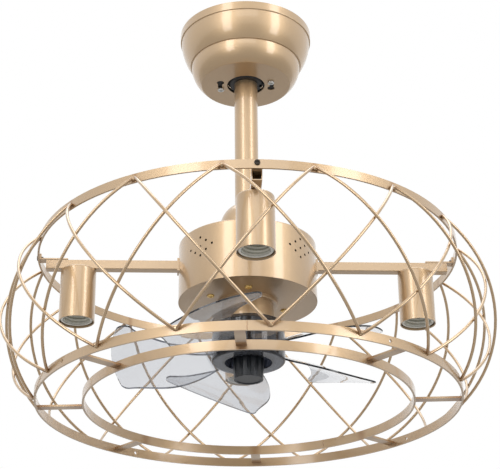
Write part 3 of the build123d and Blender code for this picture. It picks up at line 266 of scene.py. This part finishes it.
# %% [markdown]
# Painted shade at the cage's joints, brown patches on the welds and painted shade on the clear plastic's
# rims and hub change colour from place to place. That takes a little arithmetic on the point being shaded,
# and a way to lay one colour over another.


# %% Arithmetic on a point
def calculate(tree, operation, *values):
    """One step of arithmetic on sockets or numbers."""
    step = tree.nodes.new("ShaderNodeMath")
    step.operation = operation
    for slot, value in zip(step.inputs, values):
        if isinstance(value, (int, float)):
            slot.default_value = value
        else:
            tree.links.new(value, slot)
    return step.outputs[0]


def apart(tree, value, target):
    """How far a value is from its target, to either side."""
    return calculate(tree, "ABSOLUTE", calculate(tree, "SUBTRACT", value, target))


def place_in_piece(tree):
    """The point's x, y and z in the piece's own coordinates."""
    place = tree.nodes.new("ShaderNodeTexCoord")
    parts = tree.nodes.new("ShaderNodeSeparateXYZ")
    tree.links.new(place.outputs["Object"], parts.inputs[0])
    return parts.outputs


def distance_out(tree, place):
    """How far the point is from the fan's upright axis."""
    squares = [calculate(tree, "MULTIPLY", place[axis], place[axis]) for axis in ("X", "Y")]
    return calculate(tree, "SQRT", calculate(tree, "ADD", *squares))


# %% Laying one colour over another
def fading(tree, gap, reach, strength):
    """A share that is strongest where the gap is nothing and fades out at the reach."""
    fall = tree.nodes.new("ShaderNodeMapRange")
    fall.interpolation_type = "SMOOTHSTEP"
    fall.inputs["From Min"].default_value = 0.0
    fall.inputs["From Max"].default_value = reach
    fall.inputs["To Min"].default_value = strength
    fall.inputs["To Max"].default_value = 0.0
    tree.links.new(gap, fall.inputs["Value"])
    return fall.outputs[0]


def lay_over(tree, share, under, over):
    """The colour under where the share is 0 and the colour over where it is 1."""
    blend = tree.nodes.new("ShaderNodeMix")
    blend.data_type = "RGBA"
    tree.links.new(share, blend.inputs["Factor"])
    for slot, colour in (("A", under), ("B", over)):
        if isinstance(colour, tuple):
            blend.inputs[slot].default_value = colour
        else:
            tree.links.new(colour, blend.inputs[slot])
    return blend.outputs["Result"]


# %% [markdown]
# ### Champagne paint
# The canopy, rod, drum, arms, cups and cage are sprayed with a metallic champagne paint under a satin
# clear coat. Aluminium flakes in the paint make it partly metallic: it mirrors the lamps softly but keeps
# a warm body colour in the shade. Two noises are used, a very fine one for the flakes and a broad one
# for the faint clouds that spraying leaves.

# %% Champagne paint
CHAMPAGNE_DARK = (0.455, 0.308, 0.166)
CHAMPAGNE_LIGHT = (0.548, 0.392, 0.236)
# The brown of the painted shade at the cage's joints, also used for the welds' heat patches.
SHADE_AND_HEAT_BROWN = (0.300, 0.150, 0.055, 1)
SPRAY_ROUGHNESS = (0.40, 0.46)
WIRE_ROUGHNESS = (0.21, 0.27)
PAINT_METAL = 0.85
FLAKE_SCALE = 2600.0
FLAKE_SHARE = (0.22, 0.44)
FLAKE_REACH = 0.3
CLOUD_SCALE = 14.0
CLOUD_SHARE = 0.35


def champagne_paint(name="champagne_paint", rough=SPRAY_ROUGHNESS, painted_shade_and_heat=None):
    """The paint. Its last argument is a function that gives the share of brown at a point, from 0 to 1. At
    the cage's joints that brown is painted shade, and on the welds it is heat patches.
    """
    finish, tree, shader = new_finish(name)
    clouds = grain(tree, CLOUD_SCALE, 2.0)
    flakes = spread(tree, grain(tree, FLAKE_SCALE, 1.0), *FLAKE_SHARE, reach=FLAKE_REACH)
    tone = calculate(tree, "MULTIPLY_ADD", clouds, CLOUD_SHARE, flakes)
    colour = two_tones(tree, tone, CHAMPAGNE_DARK, CHAMPAGNE_LIGHT)
    if painted_shade_and_heat is not None:
        colour = lay_over(tree, painted_shade_and_heat(tree), colour, SHADE_AND_HEAT_BROWN)
    tree.links.new(colour, shader.inputs["Base Color"])
    tree.links.new(spread(tree, clouds, *rough), shader.inputs["Roughness"])
    shader.inputs["Metallic"].default_value = PAINT_METAL
    shader.inputs["Coat Weight"].default_value = 1.0
    shader.inputs["Coat Roughness"].default_value = 0.13
    shader.inputs["Coat IOR"].default_value = 1.6
    return finish


# %% [markdown]
# ### Painted shade beside the welds
# The cage is welded from hoops, bars and wires before it is sprayed. Where parts meet, the paint is
# darkened to brown as painted shade, standing in for the shade in the joints. The marks could be painted
# on a texture, but the joints lie on a regular pattern, so a formula finds them: how far a point is from
# the level or the circle where parts meet.

# %% Painted shade on wires and spokes
WIRE_LOW, WIRE_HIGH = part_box("cage_wires_outer")
INNER_RING_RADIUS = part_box("cage_inner_ring")[1].x
BOTTOM_RING_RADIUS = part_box("cage_bottom_ring")[1].x
RING_THICKNESS = 2 * MM
# Each painted shade is a reach and a strength.
WIRE_JOINT_SHADE = (8 * MM, 0.75)
SPOKE_JOINT_SHADE = (22 * MM, 0.85)
print("radii of inner and bottom hoop:", round(INNER_RING_RADIUS, 4), round(BOTTOM_RING_RADIUS, 4))


def painted_shade_on_wires(tree):
    """Painted brown shade near both ends of every wire, where it meets a hoop."""
    place = place_in_piece(tree)
    top = apart(tree, place["Z"], WIRE_HIGH.z)
    bottom = apart(tree, place["Z"], WIRE_LOW.z)
    return fading(tree, calculate(tree, "MINIMUM", top, bottom), *WIRE_JOINT_SHADE)


def painted_shade_on_spokes(tree):
    """Painted brown shade near both ends of every spoke, where it meets a hoop."""
    out = distance_out(tree, place_in_piece(tree))
    inner = apart(tree, out, INNER_RING_RADIUS)
    outer = apart(tree, out, BOTTOM_RING_RADIUS - RING_THICKNESS)
    return fading(tree, calculate(tree, "MINIMUM", inner, outer), *SPOKE_JOINT_SHADE)


# %% [markdown]
# On the hoops the marks of painted shade sit at even steps round the circle. Azimuth 0 faces the camera
# and grows to the right, so the arctangent of x and minus y gives it, and the distance to the nearest
# whole step is the distance to the nearest weld.

# %% Painted shade round a hoop
RING_JOINT_SHADE = 0.6


def painted_shade_round_ring(first, count, reach):
    """Spots of painted brown shade spread evenly round a ring, from the first one's azimuth. Angles are in
    degrees.
    """
    pitch = 360 / count

    def joint_shade(tree):
        place = place_in_piece(tree)
        away = calculate(tree, "MULTIPLY", place["Y"], -1.0)
        angle = calculate(tree, "ARCTAN2", place["X"], away)
        past_first = calculate(tree, "SUBTRACT", angle, math.radians(first))
        steps = calculate(tree, "DIVIDE", past_first, math.radians(pitch))
        gap = apart(tree, steps, calculate(tree, "ROUND", steps))
        return fading(tree, gap, reach / pitch, RING_JOINT_SHADE)
    return joint_shade


# %% [markdown]
# Eight spokes meet the inner hoop, and the wires meet each outer hoop in sixteen pairs. A mark of painted
# shade reaches 3 degrees to each side of a spoke and 1.2 degrees to each side of a pair's tip. A wire is
# round and carries a crisp bright line along it, so its paint is smoother than the paint on bars and sheet.

# %% Cage paints
SPOKE_AZIMUTH = -4.7
SPOKE_COUNT = 8
WIRE_COUNT = 16
WIRE_TOP_AZIMUTH = -8.5
WIRE_BOTTOM_AZIMUTH = 2.75
WIRE_MARK = 1.2
SPOKE_MARK = 3.0
top_marks = painted_shade_round_ring(WIRE_TOP_AZIMUTH, WIRE_COUNT, WIRE_MARK)
inner_marks = painted_shade_round_ring(SPOKE_AZIMUTH, SPOKE_COUNT, SPOKE_MARK)
wire_paint = champagne_paint("champagne_wire", WIRE_ROUGHNESS, painted_shade_on_wires)
cage_paints = {
    "cage_wires_outer": wire_paint,
    "cage_wires_inner": wire_paint,
    "cage_spokes": champagne_paint("champagne_spoke", painted_shade_and_heat=painted_shade_on_spokes),
    "cage_top_ring": champagne_paint("champagne_top_ring", painted_shade_and_heat=top_marks),
    "cage_inner_ring": champagne_paint("champagne_inner_ring", painted_shade_and_heat=inner_marks),
}
# The heat marks counted here are painted shade at the cage's joints.
print("pieces with heat marks:", len(cage_paints))

# %% [markdown]
# ### Smoke-clear blades
# Hub and blades are one clear moulding with a hint of grey. Seen through its 1.8 mm a blade is almost
# colourless, but along an edge the light travels through centimetres of plastic and the rim turns nearly
# black. Absorption inside the solid gives part of that. Painted shade gives the rest: a near-black colour
# on upright edges, on the hub's wall and on the step inside it, because few light paths run along an edge
# in a render. The hub is also painted darker, as shade for the light that crosses its nested walls.
# The plastic bends light less here than real plastic does. A real index would make every facet of the
# solid kink the wires behind it, so the bending is low and a thin clear coat gives the shine instead.

# %% Smoke-clear plastic
SMOKE_COLOUR = (0.44, 0.455, 0.50, 1)
SMOKE_DENSITY = 150.0
BLADE_TINT = (0.93, 0.94, 0.96, 1)
# The hub's deeper grey and the near-black of its walls and of the blade rims are painted shade.
PAINTED_HUB_SHADE = (0.36, 0.38, 0.43, 1)
PAINTED_RIM_SHADE = (0.035, 0.040, 0.055, 1)
HUB_RADIUS = 37.5 * MM
HUB_FADE = 8 * MM
HUB_WALL = 37.0 * MM
HUB_STEP = 25.0 * MM
BLADE_START = HUB_RADIUS + 1 * MM
# Each shade is a reach and a strength.
HUB_WALL_SHADE = (2.2 * MM, 0.90)
HUB_STEP_SHADE = (2.5 * MM, 0.60)
EDGE_SHADE = (0.62, 2.0)


def blade_edges(tree, out):
    """A share that is 1 on the blades' upright edges and 0 on their faces and on the hub."""
    facing = tree.nodes.new("ShaderNodeTexCoord")
    parts = tree.nodes.new("ShaderNodeSeparateXYZ")
    tree.links.new(facing.outputs["Normal"], parts.inputs[0])
    upright = fading(tree, calculate(tree, "ABSOLUTE", parts.outputs["Z"]), *EDGE_SHADE)
    on_blade = calculate(tree, "GREATER_THAN", out, BLADE_START)
    return calculate(tree, "MULTIPLY", calculate(tree, "MINIMUM", upright, 1.0), on_blade)


def smoke_tint_and_painted_shade(tree):
    """The plastic's pale colour on the blades, with painted shade that deepens it on the hub and makes
    walls and rims nearly black.
    """
    out = distance_out(tree, place_in_piece(tree))
    near_hub = fading(tree, calculate(tree, "SUBTRACT", out, HUB_RADIUS), HUB_FADE, 1.0)
    wall = fading(tree, apart(tree, out, HUB_WALL), *HUB_WALL_SHADE)
    step = fading(tree, apart(tree, out, HUB_STEP), *HUB_STEP_SHADE)
    tint = lay_over(tree, near_hub, BLADE_TINT, PAINTED_HUB_SHADE)
    tint = lay_over(tree, calculate(tree, "MAXIMUM", wall, step), tint, PAINTED_RIM_SHADE)
    return lay_over(tree, blade_edges(tree, out), tint, PAINTED_RIM_SHADE)


# %% Clear shader
BLADE_CLEARNESS = 0.90
BLADE_IOR = 1.16
MOULD_FLOW_SCALE = 12.0
MOULD_ROUGHNESS = (0.01, 0.04)
MOULD_RELIEF = 0.05
MOULD_DEPTH = 0.1 * MM


def smoke_plastic():
    """Clear plastic that absorbs a little light inside."""
    finish, tree, shader = new_finish("smoke_plastic")
    shader.inputs["Transmission Weight"].default_value = BLADE_CLEARNESS
    shader.inputs["IOR"].default_value = BLADE_IOR
    shader.inputs["Coat Weight"].default_value = 0.8
    shader.inputs["Coat Roughness"].default_value = 0.03
    tree.links.new(smoke_tint_and_painted_shade(tree), shader.inputs["Base Color"])
    flow = grain(tree, MOULD_FLOW_SCALE, 1.0)
    tree.links.new(spread(tree, flow, *MOULD_ROUGHNESS), shader.inputs["Roughness"])
    dimple(tree, shader, flow, MOULD_RELIEF, MOULD_DEPTH)
    smoke = tree.nodes.new("ShaderNodeVolumeAbsorption")
    smoke.inputs["Color"].default_value = SMOKE_COLOUR
    smoke.inputs["Density"].default_value = SMOKE_DENSITY
    tree.links.new(smoke.outputs["Volume"], tree.nodes["Material Output"].inputs["Volume"])
    return finish


finishes = {"champagne_paint": champagne_paint(), "smoke_plastic": smoke_plastic()}
print("shader nodes in the clear plastic:", len(finishes["smoke_plastic"].node_tree.nodes))

# %% [markdown]
# ### Plated, cast and moulded pieces
# The rest is screws, bearings, sockets and mouldings. Each differs in tone, shine and grain but not in
# kind, so one helper makes them all: two tones, a roughness range and the size of the grain. Rolled and
# ground steel get noise stretched along one axis, which reads as fine brushing.

# %% A plain finish
SKIN_DEPTH = 0.04 * MM
CAST_DEPTH = 0.2 * MM
RELIEF = 0.5


def plain_finish(name, dark, light, metal, rough, scale, depth=SKIN_DEPTH, stretch=(1, 1, 1)):
    """A finish of two close tones with matching roughness and relief."""
    finish, tree, shader = new_finish(name)
    fine = grain(tree, scale, 3.0, stretch)
    tree.links.new(two_tones(tree, fine, dark, light), shader.inputs["Base Color"])
    tree.links.new(spread(tree, fine, *rough), shader.inputs["Roughness"])
    shader.inputs["Metallic"].default_value = metal
    dimple(tree, shader, fine, RELIEF, depth)
    finishes[name] = finish
    return finish


# %% [markdown]
# Screws, pins and bearings are bare or plated metal. The pan screws are brass and shine in the shade
# under the drum, so their metal share is kept low enough to show their own colour there.

# %% Metals that show
plain_finish("zinc_steel", (0.52, 0.52, 0.50), (0.70, 0.70, 0.68), metal=1.0, rough=(0.22, 0.34),
             scale=260, stretch=(1, 1, 5))
plain_finish("bearing_steel", (0.55, 0.55, 0.56), (0.72, 0.72, 0.74), metal=1.0, rough=(0.12, 0.22),
             scale=500, stretch=(1, 1, 6))
plain_finish("brass_screws", (0.80, 0.52, 0.14), (0.93, 0.68, 0.27), metal=0.6, rough=(0.20, 0.34),
             scale=700)
plain_finish("dark_screws", (0.020, 0.016, 0.012), (0.050, 0.040, 0.030), metal=0.6, rough=(0.30, 0.42),
             scale=800)
plain_finish("shell_aluminium", (0.58, 0.57, 0.50), (0.70, 0.69, 0.61), metal=0.15, rough=(0.30, 0.40),
             scale=500)
plain_finish("blackened_steel", (0.008, 0.008, 0.008), (0.020, 0.019, 0.018), metal=0.3, rough=(0.50, 0.65),
             scale=500)
print("finishes so far:", len(finishes))

# %% [markdown]
# The knob, the sockets, the receiver and the hanger ball are plastics. Their shine comes from the
# surface alone, so their metal share is nothing, and only tone and roughness tell them apart.

# %% Plastics
plain_finish("white_plastic", (0.72, 0.72, 0.69), (0.80, 0.80, 0.78), metal=0.0, rough=(0.45, 0.55),
             scale=600)
plain_finish("black_plastic", (0.011, 0.013, 0.016), (0.024, 0.028, 0.034), metal=0.0, rough=(0.26, 0.36),
             scale=900)
plain_finish("socket_plastic", (0.66, 0.66, 0.61), (0.76, 0.76, 0.71), metal=0.0, rough=(0.35, 0.45),
             scale=700)
plain_finish("ball_nylon", (0.004, 0.004, 0.004), (0.010, 0.010, 0.011), metal=0.0, rough=(0.38, 0.48),
             scale=900)
print("finishes so far:", len(finishes))

# %% [markdown]
# Inside the motor nothing is dressed up: cast aluminium, stacked steel sheets, enamelled copper wire,
# ferrite magnets and a green board. They show once the housing is taken off.

# %% Motor finishes
plain_finish("cast_aluminium", (0.42, 0.42, 0.43), (0.60, 0.60, 0.61), metal=0.9, rough=(0.45, 0.60),
             scale=420, depth=CAST_DEPTH)
plain_finish("laminated_steel", (0.22, 0.22, 0.24), (0.36, 0.36, 0.38), metal=1.0, rough=(0.30, 0.42),
             scale=240, stretch=(1, 1, 12))
plain_finish("copper_wire", (0.42, 0.15, 0.05), (0.62, 0.27, 0.11), metal=0.9, rough=(0.22, 0.32),
             scale=500, depth=CAST_DEPTH, stretch=(1, 1, 8))
plain_finish("magnet_ferrite", (0.030, 0.030, 0.032), (0.060, 0.060, 0.062), metal=0.2, rough=(0.55, 0.70),
             scale=900)
plain_finish("circuit_board", (0.010, 0.075, 0.028), (0.020, 0.120, 0.050), metal=0.0, rough=(0.30, 0.40),
             scale=300)
print("finishes:", len(finishes))

# %% [markdown]
# ### Studio floor
# The floor is pale paper. It lies far below the fan, where little lamp light reaches it, so for the camera
# alone most of its own shade is swapped for white. The rest stays, and with it the fan's faint shadow.

# %% Studio floor's finish
FLOOR_WHITENING = 0.72
PAPER_DARK = (0.78, 0.78, 0.78)
PAPER_LIGHT = (0.82, 0.82, 0.82)


def paper_floor():
    """Pale paper that the camera sees nearly white."""
    paper = plain_finish("studio_floor", PAPER_DARK, PAPER_LIGHT, metal=0.0, rough=(0.85, 0.95), scale=3)
    tree = paper.node_tree
    glow = tree.nodes.new("ShaderNodeEmission")
    rays = tree.nodes.new("ShaderNodeLightPath")
    blend = tree.nodes.new("ShaderNodeMixShader")
    whitening = calculate(tree, "MULTIPLY", rays.outputs["Is Camera Ray"], FLOOR_WHITENING)
    tree.links.new(whitening, blend.inputs[0])
    tree.links.new(tree.nodes["Principled BSDF"].outputs[0], blend.inputs[1])
    tree.links.new(glow.outputs[0], blend.inputs[2])
    tree.links.new(blend.outputs[0], tree.nodes["Material Output"].inputs["Surface"])
    return paper


floor_mesh.materials.append(paper_floor())
print("share of white on the floor:", FLOOR_WHITENING)

# %% [markdown]
# ## Dress the solid pieces
# The record that comes with the model says which finish each piece takes, and most pieces get just that.
# Nine differ. The cage's wires, spokes and two of its hoops take the paint with painted shade at their
# joints. The bracket and the ball show nearly black through the canopy's holes, and so do the shaft and
# its pin through the clear hub, so those four are dressed dark. The ball is black plastic. On the
# bracket, the shaft and the pin, the near-black is painted shade for the dark inside the canopy and the
# hub.

# %% Assign the finishes
slot_of = {piece["node"]: piece["material_slot"] for piece in frame["record"]["subparts"]}
own_finish = {
    # The bracket, the shaft and the pin are dressed near-black as painted shade.
    "hanger_bracket": finishes["blackened_steel"],
    "hanger_ball": finishes["ball_nylon"],
    "motor_shaft": finishes["blackened_steel"],
    "drive_pin": finishes["blackened_steel"],
    **cage_paints,
}
for name, piece in frame["nodes"].items():
    piece.data.materials.clear()
    piece.data.materials.append(own_finish.get(name, finishes[slot_of[name]]))
print("dressed:", len(slot_of), "of them with their own finish:", len(own_finish))

# %% [markdown]
# ## Screw shells of the lamp sockets
# A lamp holder's shell is thin sheet rolled into a round thread that takes the bulb's cap. The solid
# model has a plain tube there, so this piece replaces it. The thread is a surface of turning and rising
# waves: each point's distance from the axis follows a cosine that moves one pitch for each turn round.
# A screw modifier could sweep a profile instead, but one formula gives the helix and both faces at once.

# %% Points of the thread
THREAD_PITCH = 3.6 * MM
THREAD_DEPTH = 0.9 * MM
THREAD_FADE = 8
SHEET = 0.35 * MM
THREAD_STEPS = 72
RISE_STEPS = 104


def thread_points(low, high):
    """Rows of points, first up the outer face of the sheet and then up its inner face."""
    centre = (low + high) / 2
    outer = (high.x - low.x) / 2
    points = []
    for face in (0, 1):
        for rise in range(RISE_STEPS + 1):
            share = rise / RISE_STEPS
            level = low.z + share * (high.z - low.z)
            calm = min(1.0, THREAD_FADE * share, THREAD_FADE * (1 - share))
            for step in range(THREAD_STEPS):
                angle = math.tau * step / THREAD_STEPS
                wave = 0.5 - 0.5 * math.cos(math.tau * (level / THREAD_PITCH) - angle)
                radius = outer - face * SHEET - calm * THREAD_DEPTH * wave
                x = centre.x + radius * math.cos(angle)
                y = centre.y + radius * math.sin(angle)
                points.append((x, y, level))
    return points


# %% Faces of the thread
def thread_faces():
    """Four-sided faces outside, inside and over the two ends, all looking out of the sheet."""
    faces = []

    def quad(row, next_row, step, flip):
        following = (step + 1) % THREAD_STEPS
        near = [row * THREAD_STEPS + step, row * THREAD_STEPS + following]
        far = [next_row * THREAD_STEPS + following, next_row * THREAD_STEPS + step]
        faces.append(tuple(reversed(near + far)) if flip else tuple(near + far))

    inside = RISE_STEPS + 1
    for step in range(THREAD_STEPS):
        for rise in range(RISE_STEPS):
            quad(rise, rise + 1, step, False)
            quad(inside + rise, inside + rise + 1, step, True)
        quad(0, inside, step, True)
        quad(RISE_STEPS, inside + RISE_STEPS, step, False)
    return faces


# %% Shells in the four cups
def smooth_piece(name, mesh, finish):
    """Puts a mesh in the scene with its finish and smooth shading. Returns the new piece."""
    for polygon in mesh.polygons:
        polygon.use_smooth = True
    mesh.materials.append(finish)
    piece = bpy.data.objects.new(name, mesh)
    bpy.context.scene.collection.objects.link(piece)
    return piece


for cup in ("front", "right", "rear", "left"):
    node = "socket_shell_" + cup
    name = "thread_shell_" + cup
    thread_mesh = bpy.data.meshes.new(name)
    thread_mesh.from_pydata(thread_points(*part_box(node)), [], thread_faces())
    thread_mesh.validate()
    thread = smooth_piece(name, thread_mesh, finishes["shell_aluminium"])
    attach(thread, "hanging_frame")
    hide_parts(node)

# %% [markdown]
# ## Weld beads of the cage
# Every pair of wires meets in a V and is held to its hoop by one small weld. On the real cage it is a
# drop of metal the size of a match head, lumpy and pressed against the hoop. A smooth ball would look
# like a pearl, so each bead starts as a ball, is squashed against the hoop and is roughened by noise
# that is read at a different place for every bead, so that no two are the same.

# %% One bead
BEAD_LUMPS = 0.45
LUMP_SIZE = 1.2 * MM


def add_bead(work, azimuth, radius, level, size, squash):
    """One squashed and roughened drop of metal. squash is along the hoop, out of it and up."""
    angle = math.radians(azimuth)
    along = Vector((math.cos(angle), math.sin(angle), 0))
    outward = Vector((math.sin(angle), -math.cos(angle), 0))
    centre = outward * radius + Vector((0, 0, level))
    drop = bmesh.ops.create_icosphere(work, subdivisions=3, radius=size)
    for vertex in drop["verts"]:
        here = vertex.co / LUMP_SIZE + Vector((azimuth, level / MM, 0))
        skin = vertex.co * (1 + BEAD_LUMPS * noise.noise(here))
        vertex.co = centre + along * skin.x * squash[0] + outward * skin.y * squash[1]
        vertex.co.z += skin.z * squash[2]


# %% [markdown]
# The beads of one kind are one piece, painted with the cage but browner in patches, because they were
# the hottest part of it. Along, outward and up are a left hand's axes, which mirrors every ball and turns
# its faces inside out, so they are turned back before the mesh is made.

# %% Weld paint and weld pieces
WARM_PATCH_SCALE = 420.0
WARM_PATCH_SHARE = (0.0, 0.30)


def warm_patches(tree):
    """The welds' own heat: patches of brown a few millimetres wide."""
    return spread(tree, grain(tree, WARM_PATCH_SCALE, 1.0), *WARM_PATCH_SHARE)


weld_paint = champagne_paint("champagne_weld", WIRE_ROUGHNESS, warm_patches)


def finish_welds(work, name):
    """Makes the beads one piece of the hanging cage."""
    bmesh.ops.reverse_faces(work, faces=work.faces)
    mesh = bpy.data.meshes.new(name)
    work.to_mesh(mesh)
    work.free()
    welds = smooth_piece(name, mesh, weld_paint)
    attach(welds, "hanging_frame")
    print("faces in", name + ":", len(mesh.polygons))


# %% Welds at the wire tips
BEAD_RADIUS = 2.0 * MM
BEAD_SQUASH = (1.35, 0.85, 1.1)
BEAD_STANDOFF = 0.9 * MM
TOP_TIP_DROP = 5.4 * MM
BOTTOM_TIP_RISE = 5.5 * MM
top_ring_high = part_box("cage_top_ring")[1]
bottom_ring_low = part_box("cage_bottom_ring")[0]
tip_circles = (
    (top_ring_high.x, top_ring_high.z - TOP_TIP_DROP, WIRE_TOP_AZIMUTH),
    (BOTTOM_RING_RADIUS, bottom_ring_low.z + BOTTOM_TIP_RISE, WIRE_BOTTOM_AZIMUTH),
)
tip_welds = bmesh.new()
for ring_radius, level, first in tip_circles:
    for count in range(WIRE_COUNT):
        azimuth = first + count * 360 / WIRE_COUNT
        add_bead(tip_welds, azimuth, ring_radius + BEAD_STANDOFF, level, BEAD_RADIUS, BEAD_SQUASH)
finish_welds(tip_welds, "wire_welds")

# %% [markdown]
# ## Closing seams of the hoops
# A hoop is a straight bar rolled round and closed with one upright weld. Grinding leaves a faint ragged
# line across the bar. It could be a dark line in the paint, but the real one stands proud by a fraction
# of a millimetre and catches the light, so a column of small overlapping drops is laid over the joint,
# on both faces of the bar.

# %% Closing seams
BOTTOM_SEAM_AZIMUTH = -2.8
INNER_SEAM_AZIMUTH = 148.0
SEAM_DROPS = 9
SEAM_SIZE = 0.75 * MM
SEAM_SQUASH = (0.9, 0.35, 0.8)
SEAM_WANDER = 0.12
SEAM_STRIDE = 1.7
seams = bmesh.new()
for node, azimuth in (("cage_bottom_ring", BOTTOM_SEAM_AZIMUTH), ("cage_inner_ring", INNER_SEAM_AZIMUTH)):
    low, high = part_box(node)
    for drop in range(SEAM_DROPS):
        level = low.z + SEAM_SIZE + drop / (SEAM_DROPS - 1) * (high.z - low.z - 2 * SEAM_SIZE)
        place = azimuth + SEAM_WANDER * noise.noise(Vector((drop * SEAM_STRIDE, azimuth, 0)))
        for face_radius in (high.x, high.x - RING_THICKNESS):
            add_bead(seams, place, face_radius, level, SEAM_SIZE, SEAM_SQUASH)
finish_welds(seams, "hoop_seams")
